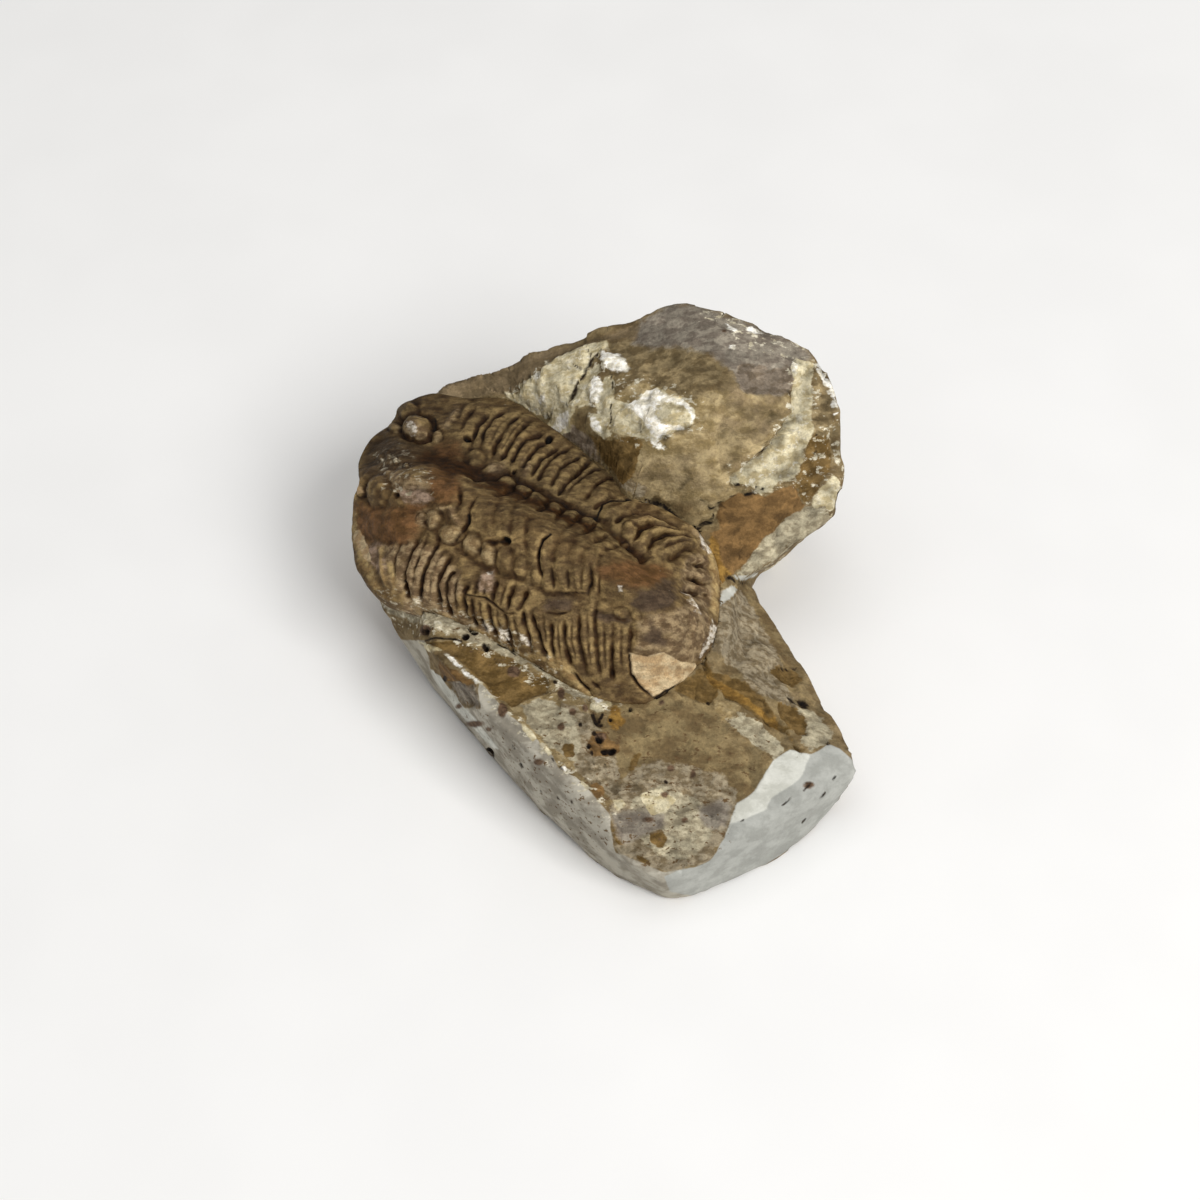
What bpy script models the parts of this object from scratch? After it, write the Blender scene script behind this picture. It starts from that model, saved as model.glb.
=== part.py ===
"""A trilobite of the Calymene kind, lying proud of the piece of dolomite in which it was found.

Two solids: the fossil (head, ribbed thorax and tail shield, 48 mm long) and its matrix (a low slab in
front, the ridge that carries the fossil and a higher lump behind). The stone stands on a flat underside
in the plane z = 0. +Z is up, -Y is the front with the slab, and the fossil's head points to -X.
All the dimensions below are in millimetres.
"""
import math

import bmesh
import bpy
import numpy as np

# Driving dimensions of the stone

SLAB_TOP = [
    (-22, 8, 14), (-20, 0, 17), (0, -13, 17), (12, -11, 16), (10, 4, 15), (20.2, 6.5, 9.5),
    (25.4, -6.4, 10),
]
SLAB_LEFT_FACE_TOP = [
    (-20.5, -8, 16), (-15.5, -15, 15.5), (-9.5, -21, 15), (-4.6, -24.6, 14), (0.8, -29.8, 12),
]
SLAB_TOE = [(2.8, -32.8, 8.5), (7.5, -35, 6), (15, -31.5, 9), (8, -34.2, 3)]
SLAB_RIGHT_FACE = [(23.2, -20.4, 12), (31.1, -19.3, 10), (31.5, -20.7, 8), (30.1, -20, 3)]
SLAB_FOOT = [
    (27.4, -21.5, 0), (25.5, -23.7, 0), (22.7, -26.8, 0), (19.2, -29.8, 0), (13.8, -32.5, 0),
    (8, -32.9, 0), (1.8, -29.6, 0), (-2.5, -24.5, 0), (-13.5, -12.3, 0), (-20, -3.5, 0),
    (24, -5, 0), (19.5, 5, 0), (-22, 6, 0),
]
SLAB_BELLY = [
    (-25.6, 1.2, 8.5), (-19.7, -6.8, 7), (-16, -12, 6), (-7.6, -23, 5), (-2, -28, 3), (3, -32, 3),
]

RIDGE_TOP = [
    (-28.8, 9, 15.5), (-29, 18, 16.5), (-27.5, 23.5, 17), (-24, 27.5, 18), (-20.5, 30.8, 22.5),
    (-17, 30.9, 23.5), (-11, 30.2, 25.8), (-9, 31.2, 26.9),
]
RIDGE_FRONT = [(-20, -2, 17), (14, -6, 15), (14, 3, 17), (10, 6, 20), (19.6, 8.5, 9), (18, 4, 10)]
RIDGE_SIDES = [
    (-28, 3, 10), (-29, 6.3, 10), (-30.4, 10, 11), (-31, 15, 11), (-30.5, 20, 11), (-27.5, 26.5, 12),
    (-23.5, 31, 13), (-19, 34, 13), (-10, 35, 14),
]
RIDGE_FOOT = [
    (-24, 7, 0), (-25, 20, 0), (-17, 30, 0), (-8, 32, 0), (18, 9, 0), (8, -8, 0), (-18, -3, 0),
]

LUMP_CROWN = [
    (-8, 31.2, 27.6), (-5.8, 31.8, 28.5), (0, 31.6, 30.6), (3.7, 31.4, 32.3), (8, 32.2, 35.4),
    (11.4, 31.7, 36.3), (14.4, 30.7, 36.8), (21, 28, 35.8), (26.4, 26, 34.3), (28.8, 24.2, 32.2),
    (24, 23, 34.2), (12.5, 18, 35.2), (5, 21, 33), (0, 22, 30),
]
LUMP_RIGHT = [
    (29.8, 22.4, 29.8), (30.6, 20.8, 27.6), (29.5, 18.5, 25.5), (31, 14.6, 20), (30.4, 13, 17),
    (26.2, 13, 19),
]
LUMP_FRONT_FOOT = [
    (-10, 26, 26), (-5.5, 19, 24), (-1, 8, 22), (12.5, 8, 20), (14.5, 5.5, 17), (17.5, 4.7, 14),
]
LUMP_UNDERCUT = [(27.9, 12.9, 14), (24, 11, 12), (20.4, 9, 10), (20.5, 13, 5)]
LUMP_BACK = [
    (10, 37.5, 24), (20, 35, 22), (0, 37, 20), (12, 38.5, 14), (-8, 36, 14), (25, 31, 12),
    (30, 25, 18),
]
LUMP_FOOT = [
    (25, 23, 0), (22, 20.5, 0), (19, 16.5, 0), (0, 12, 0), (21, 31, 0), (10, 35.5, 0), (-4, 33, 0),
]

FOOT_BURIED = 3.0
STONE_GRID = 1.3
STONE_SMOOTHING = 0.5
STONE_SMOOTHING_STEPS = 2
STONE_LUMP_SIZE = 9.0
STONE_LUMP_HEIGHT = 0.9
STONE_FACE_SHARE = 0.3

# Driving dimensions of the fossil: seven guide rails run from the front of the head (station -4) to the
# tip of the tail (station 18), and stations 1 to 13 are the thorax's segments

RAILS = {
    "lower_margin": [
        (-4, -31.6, 9.3, 16.5), (-2, -30.4, 4.3, 16.8), (0, -26.8, -0.5, 17.0), (1, -24.3, -1.5, 17.5),
        (3, -20.0, -3.2, 17.5), (5, -13.7, -6.4, 17.0), (7, -9.3, -9.3, 16.8), (9, -4.3, -12.8, 16.2),
        (11, 0.0, -15.0, 15.9), (13, 4.2, -15.6, 15.7), (15, 6.7, -14.9, 15.8), (17, 10.4, -12.1, 16.3),
        (18, 12.2, -9.8, 16.2),
    ],
    "lower_bend": [
        (-4, -31.5, 12.0, 18.3), (0, -25.0, 2.4, 21.0), (1, -24.2, 1.0, 21.2), (3, -19.6, -1.6, 21.5),
        (5, -13.5, -4.8, 21.3), (7, -9.2, -6.7, 21.0), (9, -4.8, -9.2, 20.5), (11, -0.5, -10.8, 20.0),
        (13, 3.6, -11.9, 19.5), (16, 9.3, -11.0, 18.6), (18, 13.4, -8.2, 16.5),
    ],
    "lower_furrow": [
        (-4, -31.3, 13.4, 19.8), (-1, -24.9, 7.8, 23.2), (1, -20.9, 5.4, 23.8), (3, -16.2, 1.4, 24.2),
        (5, -11.7, -1.5, 24.0), (7, -7.6, -3.7, 23.7), (9, -3.9, -5.4, 23.3), (11, 0.0, -6.9, 22.9),
        (13, 3.6, -8.5, 22.2), (16, 9.3, -9.4, 20.8), (18, 14.1, -6.4, 16.9),
    ],
    "crest": [
        (-4, -30.6, 15.2, 21.3), (-2, -26.1, 12.5, 24.8), (0, -21.7, 10.2, 26.2), (3, -14.7, 6.0, 27.3),
        (5, -10.4, 3.3, 27.6), (7, -5.8, 0.6, 27.6), (9, -2.1, -1.5, 27.2), (11, 1.3, -3.6, 26.5),
        (13, 4.6, -5.6, 25.5), (16, 9.9, -6.4, 22.6), (18, 14.6, -4.2, 17.2),
    ],
    "upper_furrow": [
        (-4, -31.0, 19.2, 20.3), (-1, -23.6, 18.6, 23.2), (1, -15.8, 14.7, 24.2), (3, -11.5, 12.2, 24.6),
        (5, -7.5, 10.0, 24.7), (7, -3.6, 7.3, 24.6), (9, 0.4, 5.4, 24.2), (11, 3.4, 3.1, 23.8),
        (13, 5.7, 1.3, 23.3), (16, 9.6, -2.0, 21.8), (18, 14.8, -2.0, 17.2),
    ],
    "upper_bend": [
        (-4, -29.6, 23.2, 20.4), (-1, -22.5, 23.1, 23.0), (1, -14.7, 21.2, 24.2), (3, -9.9, 19.1, 24.4),
        (5, -5.0, 14.9, 24.4), (7, -0.9, 12.1, 24.2), (9, 2.2, 8.8, 24.0), (11, 6.8, 6.6, 23.7),
        (13, 10.2, 4.3, 22.6), (16, 12.6, 1.6, 19.8), (18, 15.0, 0.2, 17.0),
    ],
    "upper_margin": [
        (-4, -26.4, 26.2, 20.5), (-2, -25.6, 28.4, 21.3), (-1, -21.9, 29.4, 22.2), (0, -17.5, 28.0, 22.8),
        (1, -13.0, 27.3, 23.6), (3, -6.9, 22.7, 23.7), (5, -1.7, 17.8, 23.4), (7, 1.8, 14.4, 23.0),
        (8, 3.1, 11.6, 22.8), (9, 5.0, 10.9, 22.6), (11, 11.3, 7.7, 21.4), (13, 13.2, 6.3, 19.8),
        (16, 14.7, 4.2, 17.7), (18, 15.0, 2.2, 16.8),
    ],
}
FRONT_STATION = -4.0
TAIL_STATION = 18.0
STEPS_ALONG = 92
STEPS_ACROSS = 24

# Relief of the fossil: the ribs begin and end over a short stretch, and places across are counted in
# rails from the crest of the axis, with the axial furrows at 1 and the margins at 3
CREST_PLACE = 3.0
FIRST_RIB = 0.5
RIBS_BEGIN = (0.1, 0.7)
RIBS_END = (17.0, 17.5)
RIB_HEIGHT = 0.42
RIB_TIPS = (2.75, 3.0)
RING_HEIGHT = 0.38
AXIS_EDGE = (0.8, 1.0)
FURROW_DEPTH = 0.7
FURROW_PLACE = 1.0
FURROW_WIDTH = 0.22
FURROW_BEGINS = (-2.5, 0.0)
FURROW_ENDS = (15.0, 17.5)
NECK_STATION = 0.35
NECK_WIDTH = 0.28
NECK_ENDS = (0.9, 1.3)
RIM_FADE = 0.5
END_REACH = 1.5

# Knobs of the head: station, place across (0 to 6 over the seven rails), radius and height
KNOB_SPREAD = 0.6
HEAD_KNOBS = {
    "upper_eye": (-1.7, 5.2, 2.0, 1.5),
    "lower_eye": (-2.6, 1.6, 1.8, 0.9),
    "glabella_front": (-2.4, 3.3, 3.6, 0.8),
    "glabella_lobe_lower": (-0.6, 2.35, 1.6, 0.7),
    "glabella_lobe_upper": (-0.6, 3.8, 1.6, 0.6),
}

# The seat: the fossil's flat underside, a plane that rises towards the back
SEAT_HEIGHT = 15.2
SEAT_SLOPE = 0.1
SEAT_GAP = 0.3
SEAT_SIDE_GAP = 0.55
SEAT_OUTLINE_STEP = 4
WALL_LEAN = 0.25
CUTTER_TOP = 48.0
GROUND_SIZE = 200.0

METRES = 0.001


def block(name, corner_groups):
    """The convex block that hugs a set of corners, its foot sunk below the plane of the underside."""
    body = bmesh.new()
    for corners in corner_groups:
        for x, y, z in corners:
            sunk = z if z > 0 else -FOOT_BURIED
            body.verts.new((x * METRES, y * METRES, sunk * METRES))
    hull = bmesh.ops.convex_hull(body, input=body.verts)
    inside = {item for item in hull["geom_interior"] if isinstance(item, bmesh.types.BMVert)}
    bmesh.ops.delete(body, geom=list(inside), context="VERTS")
    bmesh.ops.recalc_face_normals(body, faces=body.faces)
    mesh = bpy.data.meshes.new(name)
    body.to_mesh(mesh)
    body.free()
    return bpy.data.objects.new(name, mesh)


def plain_stone(name, colour, roughness):
    """A dull mineral surface of one colour."""
    material = bpy.data.materials.new(name)
    material.use_nodes = True
    shader = material.node_tree.nodes["Principled BSDF"]
    shader.inputs["Base Color"].default_value = (*colour, 1.0)
    shader.inputs["Roughness"].default_value = roughness
    shader.inputs["Metallic"].default_value = 0.0
    return material


def make_cutter(item, collection):
    """Mark an object as a helper that only shapes others."""
    collection.objects.link(item)
    item.hide_render = True
    item.display_type = "WIRE"


def boolean(target, tool, operation):
    """Join to or cut from the target with another object."""
    step = target.modifiers.new(tool.name, "BOOLEAN")
    step.operation = operation
    step.solver = "EXACT"
    step.object = tool


def seat_height(y):
    """Height of the fossil's underside, which rises with y."""
    return SEAT_HEIGHT + SEAT_SLOPE * y


def through(knots, values, stations):
    """A smooth curve through values at knots: cubic pieces whose slopes are those of the neighbours."""
    slopes = np.gradient(values, knots, axis=0)
    piece = np.clip(np.searchsorted(knots, stations) - 1, 0, len(knots) - 2)
    width = (knots[piece + 1] - knots[piece])[:, None]
    t = (stations - knots[piece])[:, None] / width
    start, end = values[piece], values[piece + 1]
    rise = end - start
    leave, arrive = slopes[piece] * width, slopes[piece + 1] * width
    bend, twist = 3 * rise - 2 * leave - arrive, leave + arrive - 2 * rise
    return start + t * leave + t ** 2 * bend + t ** 3 * twist


def smooth_step(low, high, value):
    """0 below low, 1 above high and an even change between them."""
    t = np.clip((value - low) / (high - low), 0.0, 1.0)
    return t * t * (3 - 2 * t)


def fossil_surface(along, across):
    """Points of the fossil's back on a grid of stations along it and places 0 to 6 across its rails.

    Each rail is followed to the station, and a smooth curve through the seven points gives the section.
    """
    followed = []
    for points in RAILS.values():
        table = np.array(points, dtype=float)
        followed.append(through(table[:, 0], table[:, 1:], along))
    rails = np.stack(followed, axis=1)
    knots = np.arange(len(RAILS), dtype=float)
    return np.stack([through(knots, section, across) for section in rails])


def fossil_relief(along, across):
    """Height of the relief over the smooth back.

    Ribs on the flanks and rings on the axis are a cosine wave of one cycle a segment, the two axial
    furrows are grooves with a bell section, and the head's knobs are bells.
    """
    station, place = np.meshgrid(along, across, indexing="ij")
    from_crest = np.abs(place - CREST_PLACE)
    on_axis = 1 - smooth_step(*AXIS_EDGE, from_crest)
    ribbed = smooth_step(*RIBS_BEGIN, station) * (1 - smooth_step(*RIBS_END, station))
    wave = -np.cos(2 * math.pi * (station - FIRST_RIB))
    flank = (1 - on_axis) * (1 - smooth_step(*RIB_TIPS, from_crest))
    relief = ribbed * wave * (on_axis * RING_HEIGHT + flank * RIB_HEIGHT)
    groove = np.exp(-((from_crest - FURROW_PLACE) / FURROW_WIDTH) ** 2)
    groove *= smooth_step(*FURROW_BEGINS, station) * (1 - smooth_step(*FURROW_ENDS, station))
    neck = np.exp(-((station - NECK_STATION) / NECK_WIDTH) ** 2)
    neck *= 1 - smooth_step(*NECK_ENDS, from_crest)
    relief -= FURROW_DEPTH * (groove + neck)
    return relief, station, place


def add_knobs(relief, points):
    """Raise the head's knobs as bells of their own radius round their centres."""
    for station, place, radius, height in HEAD_KNOBS.values():
        centre = fossil_surface(np.array([station]), np.array([place]))[0, 0]
        away = np.linalg.norm(points - centre, axis=-1)
        relief = relief + height * np.exp(-(away / (KNOB_SPREAD * radius)) ** 2)
    return relief


def grid_normals(points):
    """Outward directions on a grid of points, from the differences between neighbours."""
    normals = np.cross(np.gradient(points, axis=0), np.gradient(points, axis=1))
    return normals / np.linalg.norm(normals, axis=-1, keepdims=True)


def fossil_grid():
    """The fossil's back with its relief, as a grid of points in millimetres."""
    along = np.linspace(FRONT_STATION, TAIL_STATION, STEPS_ALONG + 1)
    across = np.linspace(0.0, len(RAILS) - 1.0, STEPS_ACROSS + 1)
    points = fossil_surface(along, across)
    relief, station, place = fossil_relief(along, across)
    relief = add_knobs(relief, points)
    ends = np.minimum(station - FRONT_STATION, TAIL_STATION - station)
    edge = np.minimum.reduce([place, 2 * CREST_PLACE - place, END_REACH * ends])
    relief *= smooth_step(0.0, RIM_FADE, edge)
    return points + grid_normals(points) * relief[..., None]


def outline(points):
    """The rim of the grid, once round."""
    return np.concatenate([points[:-1, 0], points[-1, :-1], points[:0:-1, -1], points[0, :0:-1]])


def moved_out(ring, distance):
    """A closed ring moved sideways in plan: outwards where the distance is positive."""
    step = np.roll(ring, -1, axis=0) - np.roll(ring, 1, axis=0)
    out = np.stack([step[:, 1], -step[:, 0]], axis=-1)
    out /= np.linalg.norm(out, axis=-1, keepdims=True)
    area = 0.5 * np.sum(ring[:, 0] * np.roll(ring[:, 1], -1) - np.roll(ring[:, 0], -1) * ring[:, 1])
    moved = ring.copy()
    moved[:, :2] += out * distance * math.copysign(1.0, area)
    return moved


def make_fossil():
    """The fossil as one solid: its back on a grid, walls down to the seat and a flat underside."""
    points = fossil_grid()
    body = bmesh.new()
    bmesh.ops.create_grid(body, x_segments=STEPS_ALONG, y_segments=STEPS_ACROSS, size=1.0)
    body.verts.ensure_lookup_table()
    for vertex in body.verts:
        row = round((vertex.co.x + 1) / 2 * STEPS_ALONG)
        column = round((vertex.co.y + 1) / 2 * STEPS_ACROSS)
        vertex.co = points[row, column] * METRES
    rim_edges = [edge for edge in body.edges if edge.is_boundary]
    wall = bmesh.ops.extrude_edge_only(body, edges=rim_edges)
    foot = [item for item in wall["geom"] if isinstance(item, bmesh.types.BMVert)]
    centre = outline(points).mean(axis=0) * METRES
    for vertex in foot:
        inward = centre[:2] - np.array(vertex.co[:2])
        inward *= WALL_LEAN * METRES / np.linalg.norm(inward)
        vertex.co.x += inward[0]
        vertex.co.y += inward[1]
        vertex.co.z = seat_height(vertex.co.y / METRES) * METRES
    bmesh.ops.holes_fill(body, edges=[edge for edge in body.edges if edge.is_boundary])
    bmesh.ops.recalc_face_normals(body, faces=body.faces)
    mesh = bpy.data.meshes.new("trilobite")
    body.to_mesh(mesh)
    body.free()
    mesh.shade_smooth()
    return bpy.data.objects.new("trilobite", mesh)


def make_seat_cutter():
    """The room for the fossil in the stone: its outline with a little space all round, open upwards."""
    ring = moved_out(outline(fossil_grid())[::SEAT_OUTLINE_STEP], SEAT_SIDE_GAP)
    body = bmesh.new()
    floor = []
    for x, y, _ in ring:
        floor.append(body.verts.new((x * METRES, y * METRES, (seat_height(y) - SEAT_GAP) * METRES)))
    face = body.faces.new(floor)
    lid = bmesh.ops.extrude_face_region(body, geom=[face])
    for item in lid["geom"]:
        if isinstance(item, bmesh.types.BMVert):
            item.co.z = CUTTER_TOP * METRES
    bmesh.ops.recalc_face_normals(body, faces=body.faces)
    mesh = bpy.data.meshes.new("seat_cutter")
    body.to_mesh(mesh)
    body.free()
    return bpy.data.objects.new("seat_cutter", mesh)


def make_ground_cutter():
    """All that lies below the flat underside."""
    size = GROUND_SIZE * METRES
    bpy.ops.mesh.primitive_cube_add(size=size, location=(0, 0, -size / 2))
    cutter = bpy.context.object
    cutter.name = "ground_cutter"
    for collection in list(cutter.users_collection):
        collection.objects.unlink(cutter)
    return cutter


def make_matrix(helpers):
    """The stone: three blocks grown together, weathered round, with a flat foot and the fossil's seat."""
    slab_edges = [SLAB_TOP, SLAB_LEFT_FACE_TOP, SLAB_TOE, SLAB_RIGHT_FACE, SLAB_FOOT, SLAB_BELLY]
    lump_edges = [LUMP_CROWN, LUMP_RIGHT, LUMP_FRONT_FOOT, LUMP_UNDERCUT, LUMP_BACK, LUMP_FOOT]
    stone = block("matrix", slab_edges)
    ridge = block("ridge_block", [RIDGE_TOP, RIDGE_FRONT, RIDGE_SIDES, RIDGE_FOOT])
    lump = block("lump_block", lump_edges)
    for other in (ridge, lump):
        make_cutter(other, helpers)
        boolean(stone, other, "UNION")
    grid = stone.modifiers.new("even_grid", "REMESH")
    grid.mode = "VOXEL"
    grid.voxel_size = STONE_GRID * METRES
    weathering = stone.modifiers.new("weathering", "SMOOTH")
    weathering.factor = STONE_SMOOTHING
    weathering.iterations = STONE_SMOOTHING_STEPS
    lumps = bpy.data.textures.new("stone_lumps", type="CLOUDS")
    lumps.noise_scale = STONE_LUMP_SIZE * METRES
    lumps.noise_depth = 2
    rough = stone.modifiers.new("stone_lumps", "DISPLACE")
    rough.texture = lumps
    rough.texture_coords = "LOCAL"
    rough.strength = STONE_LUMP_HEIGHT * METRES
    rough.mid_level = 0.5
    thin = stone.modifiers.new("fewer_faces", "DECIMATE")
    thin.ratio = STONE_FACE_SHARE
    ground = make_ground_cutter()
    make_cutter(ground, helpers)
    boolean(stone, ground, "DIFFERENCE")
    seat = make_seat_cutter()
    make_cutter(seat, helpers)
    boolean(stone, seat, "DIFFERENCE")
    return stone


for item in list(bpy.data.objects):
    bpy.data.objects.remove(item, do_unlink=True)

fossil_parts = bpy.data.collections.new("calymene_trilobite_fossil")
cutters = bpy.data.collections.new("cutters")
bpy.context.scene.collection.children.link(fossil_parts)
bpy.context.scene.collection.children.link(cutters)

trilobite = make_fossil()
trilobite.data.materials.append(plain_stone("trilobite_stone", (0.147, 0.084, 0.037), 0.65))
fossil_parts.objects.link(trilobite)

matrix = make_matrix(cutters)
matrix.data.materials.append(plain_stone("dolomite_matrix", (0.352, 0.254, 0.127), 0.85))
fossil_parts.objects.link(matrix)
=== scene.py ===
import itertools
import math

import bmesh
import bpy
import numpy as np
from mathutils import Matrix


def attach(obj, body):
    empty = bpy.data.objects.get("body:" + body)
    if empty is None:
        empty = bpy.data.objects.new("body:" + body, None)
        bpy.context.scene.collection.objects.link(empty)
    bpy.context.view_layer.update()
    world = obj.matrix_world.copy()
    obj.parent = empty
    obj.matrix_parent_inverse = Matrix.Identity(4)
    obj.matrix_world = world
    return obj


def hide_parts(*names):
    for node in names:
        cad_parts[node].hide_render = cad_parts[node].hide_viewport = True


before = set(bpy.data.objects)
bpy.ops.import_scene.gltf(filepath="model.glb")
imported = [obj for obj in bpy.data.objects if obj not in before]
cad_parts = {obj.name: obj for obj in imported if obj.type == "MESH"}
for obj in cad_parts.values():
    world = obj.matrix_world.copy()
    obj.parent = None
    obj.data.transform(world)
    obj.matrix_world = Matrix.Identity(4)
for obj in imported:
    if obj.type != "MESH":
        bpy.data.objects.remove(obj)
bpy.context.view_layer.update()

MM = 0.001

# The view. A 70 mm lens looks down on the fossil from the front, 52 degrees above the table.
# Markings are placed by the pixel of the photograph (1200 x 1200) in which this camera sees them, so the
# same camera says where each point of a surface is seen.

PHOTO_SIZE = 1200
LENS = 70.0
SENSOR = 36.0
SEEN_WIDTH = 150.0
CAMERA_RISE = math.radians(52)
CAMERA_TARGET = np.array([0.0, 0.0, 16.0])

towards_camera = np.array([0.0, -math.cos(CAMERA_RISE), math.sin(CAMERA_RISE)])
camera_right = np.array([1.0, 0.0, 0.0])
camera_up = np.cross(towards_camera, camera_right)
camera_place = CAMERA_TARGET + SEEN_WIDTH * LENS / SENSOR * towards_camera

camera_data = bpy.data.cameras.new("camera")
camera_data.lens = LENS
camera_data.sensor_width = SENSOR
camera_data.clip_start = 0.01
camera = bpy.data.objects.new("camera", camera_data)
camera.location = camera_place * MM
camera.rotation_euler = (math.pi / 2 - CAMERA_RISE, 0, 0)
bpy.context.scene.collection.objects.link(camera)
bpy.context.scene.camera = camera


def seen_at(points):
    """Pixel of the photograph at which each point is seen: a plain perspective from the camera's place."""
    out = points - camera_place
    depth = -out @ towards_camera
    scale = LENS / SENSOR * PHOTO_SIZE / depth
    across = PHOTO_SIZE / 2 + scale * (out @ camera_right)
    down = PHOTO_SIZE / 2 - scale * (out @ camera_up)
    return np.stack([across, down], axis=-1)


# The trilobite. A Calymene, 48 mm long, preserved in the round: an internal mould in dolomite, stained
# brown by iron, that stands proud of the stone, with a head, a ribbed thorax and a tail shield.
# Seven guide rails run from the front of the head (station -4) to the tip of the tail (station 18).

RAILS = {
    "lower_margin": [
        (-4, -31.6, 9.3, 16.5), (-2, -30.4, 4.3, 16.8), (0, -26.8, -0.5, 17.0), (1, -24.3, -1.5, 17.5),
        (3, -20.0, -3.2, 17.5), (5, -13.7, -6.4, 17.0), (7, -9.3, -9.3, 16.8), (9, -4.3, -12.8, 16.2),
        (11, 0.0, -15.0, 15.9), (13, 4.2, -15.6, 15.7), (15, 6.7, -14.9, 15.8), (17, 10.4, -12.1, 16.3),
        (18, 12.2, -9.8, 16.2),
    ],
    "lower_bend": [
        (-4, -31.5, 12.0, 18.3), (0, -25.0, 2.4, 21.0), (1, -24.2, 1.0, 21.2), (3, -19.6, -1.6, 21.5),
        (5, -13.5, -4.8, 21.3), (7, -9.2, -6.7, 21.0), (9, -4.8, -9.2, 20.5), (11, -0.5, -10.8, 20.0),
        (13, 3.6, -11.9, 19.5), (16, 9.3, -11.0, 18.6), (18, 13.4, -8.2, 16.5),
    ],
    "lower_furrow": [
        (-4, -31.3, 13.4, 19.8), (-1, -24.9, 7.8, 23.2), (1, -20.9, 5.4, 23.8), (3, -16.2, 1.4, 24.2),
        (5, -11.7, -1.5, 24.0), (7, -7.6, -3.7, 23.7), (9, -3.9, -5.4, 23.3), (11, 0.0, -6.9, 22.9),
        (13, 3.6, -8.5, 22.2), (16, 9.3, -9.4, 20.8), (18, 14.1, -6.4, 16.9),
    ],
    "crest": [
        (-4, -30.6, 15.2, 21.3), (-2, -26.1, 12.5, 24.8), (0, -21.7, 10.2, 26.2), (3, -14.7, 6.0, 27.3),
        (5, -10.4, 3.3, 27.6), (7, -5.8, 0.6, 27.6), (9, -2.1, -1.5, 27.2), (11, 1.3, -3.6, 26.5),
        (13, 4.6, -5.6, 25.5), (16, 9.9, -6.4, 22.6), (18, 14.6, -4.2, 17.2),
    ],
    "upper_furrow": [
        (-4, -31.0, 19.2, 20.3), (-1, -23.6, 18.6, 23.2), (1, -15.8, 14.7, 24.2), (3, -11.5, 12.2, 24.6),
        (5, -7.5, 10.0, 24.7), (7, -3.6, 7.3, 24.6), (9, 0.4, 5.4, 24.2), (11, 3.4, 3.1, 23.8),
        (13, 5.7, 1.3, 23.3), (16, 9.6, -2.0, 21.8), (18, 14.8, -2.0, 17.2),
    ],
    "upper_bend": [
        (-4, -29.6, 23.2, 20.4), (-1, -22.5, 23.1, 23.0), (1, -14.7, 21.2, 24.2), (3, -9.9, 19.1, 24.4),
        (5, -5.0, 14.9, 24.4), (7, -0.9, 12.1, 24.2), (9, 2.2, 8.8, 24.0), (11, 6.8, 6.6, 23.7),
        (13, 10.2, 4.3, 22.6), (16, 12.6, 1.6, 19.8), (18, 15.0, 0.2, 17.0),
    ],
    "upper_margin": [
        (-4, -26.4, 26.2, 20.5), (-2, -25.6, 28.4, 21.3), (-1, -21.9, 29.4, 22.2), (0, -17.5, 28.0, 22.8),
        (1, -13.0, 27.3, 23.6), (3, -6.9, 22.7, 23.7), (5, -1.7, 17.8, 23.4), (7, 1.8, 14.4, 23.0),
        (8, 3.1, 11.6, 22.8), (9, 5.0, 10.9, 22.6), (11, 11.3, 7.7, 21.4), (13, 13.2, 6.3, 19.8),
        (16, 14.7, 4.2, 17.7), (18, 15.0, 2.2, 16.8),
    ],
}
FRONT_STATION = -4.0
TAIL_STATION = 18.0
FOSSIL_ROWS = 424
FOSSIL_COLUMNS = 196
WALL_RINGS = 5
WALL_LEAN = 0.25
WALL_BULGE = 0.14
WALL_NOISES = [(0.12, 0.9, 14)]
SEAT_HEIGHT = 15.2
SEAT_SLOPE = 0.1

# Relief of the shell: the noises that make it uneven, each by its height (mm), size (mm) and seed, those
# that make its furrows deeper and shallower, the way from its edge (rails) over which relief sets in, and
# how much sooner it does at the two ends (rails per station)
SHELL_NOISES = [(0.16, 2.6, 11), (0.1, 1.1, 12), (0.05, 0.5, 13)]
FURROW_NOISES = [(0.45, 1.4, 15)]
EDGE_FADE = (-0.1, 0.12)
ENDS_STEEPER = 1.5

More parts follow.
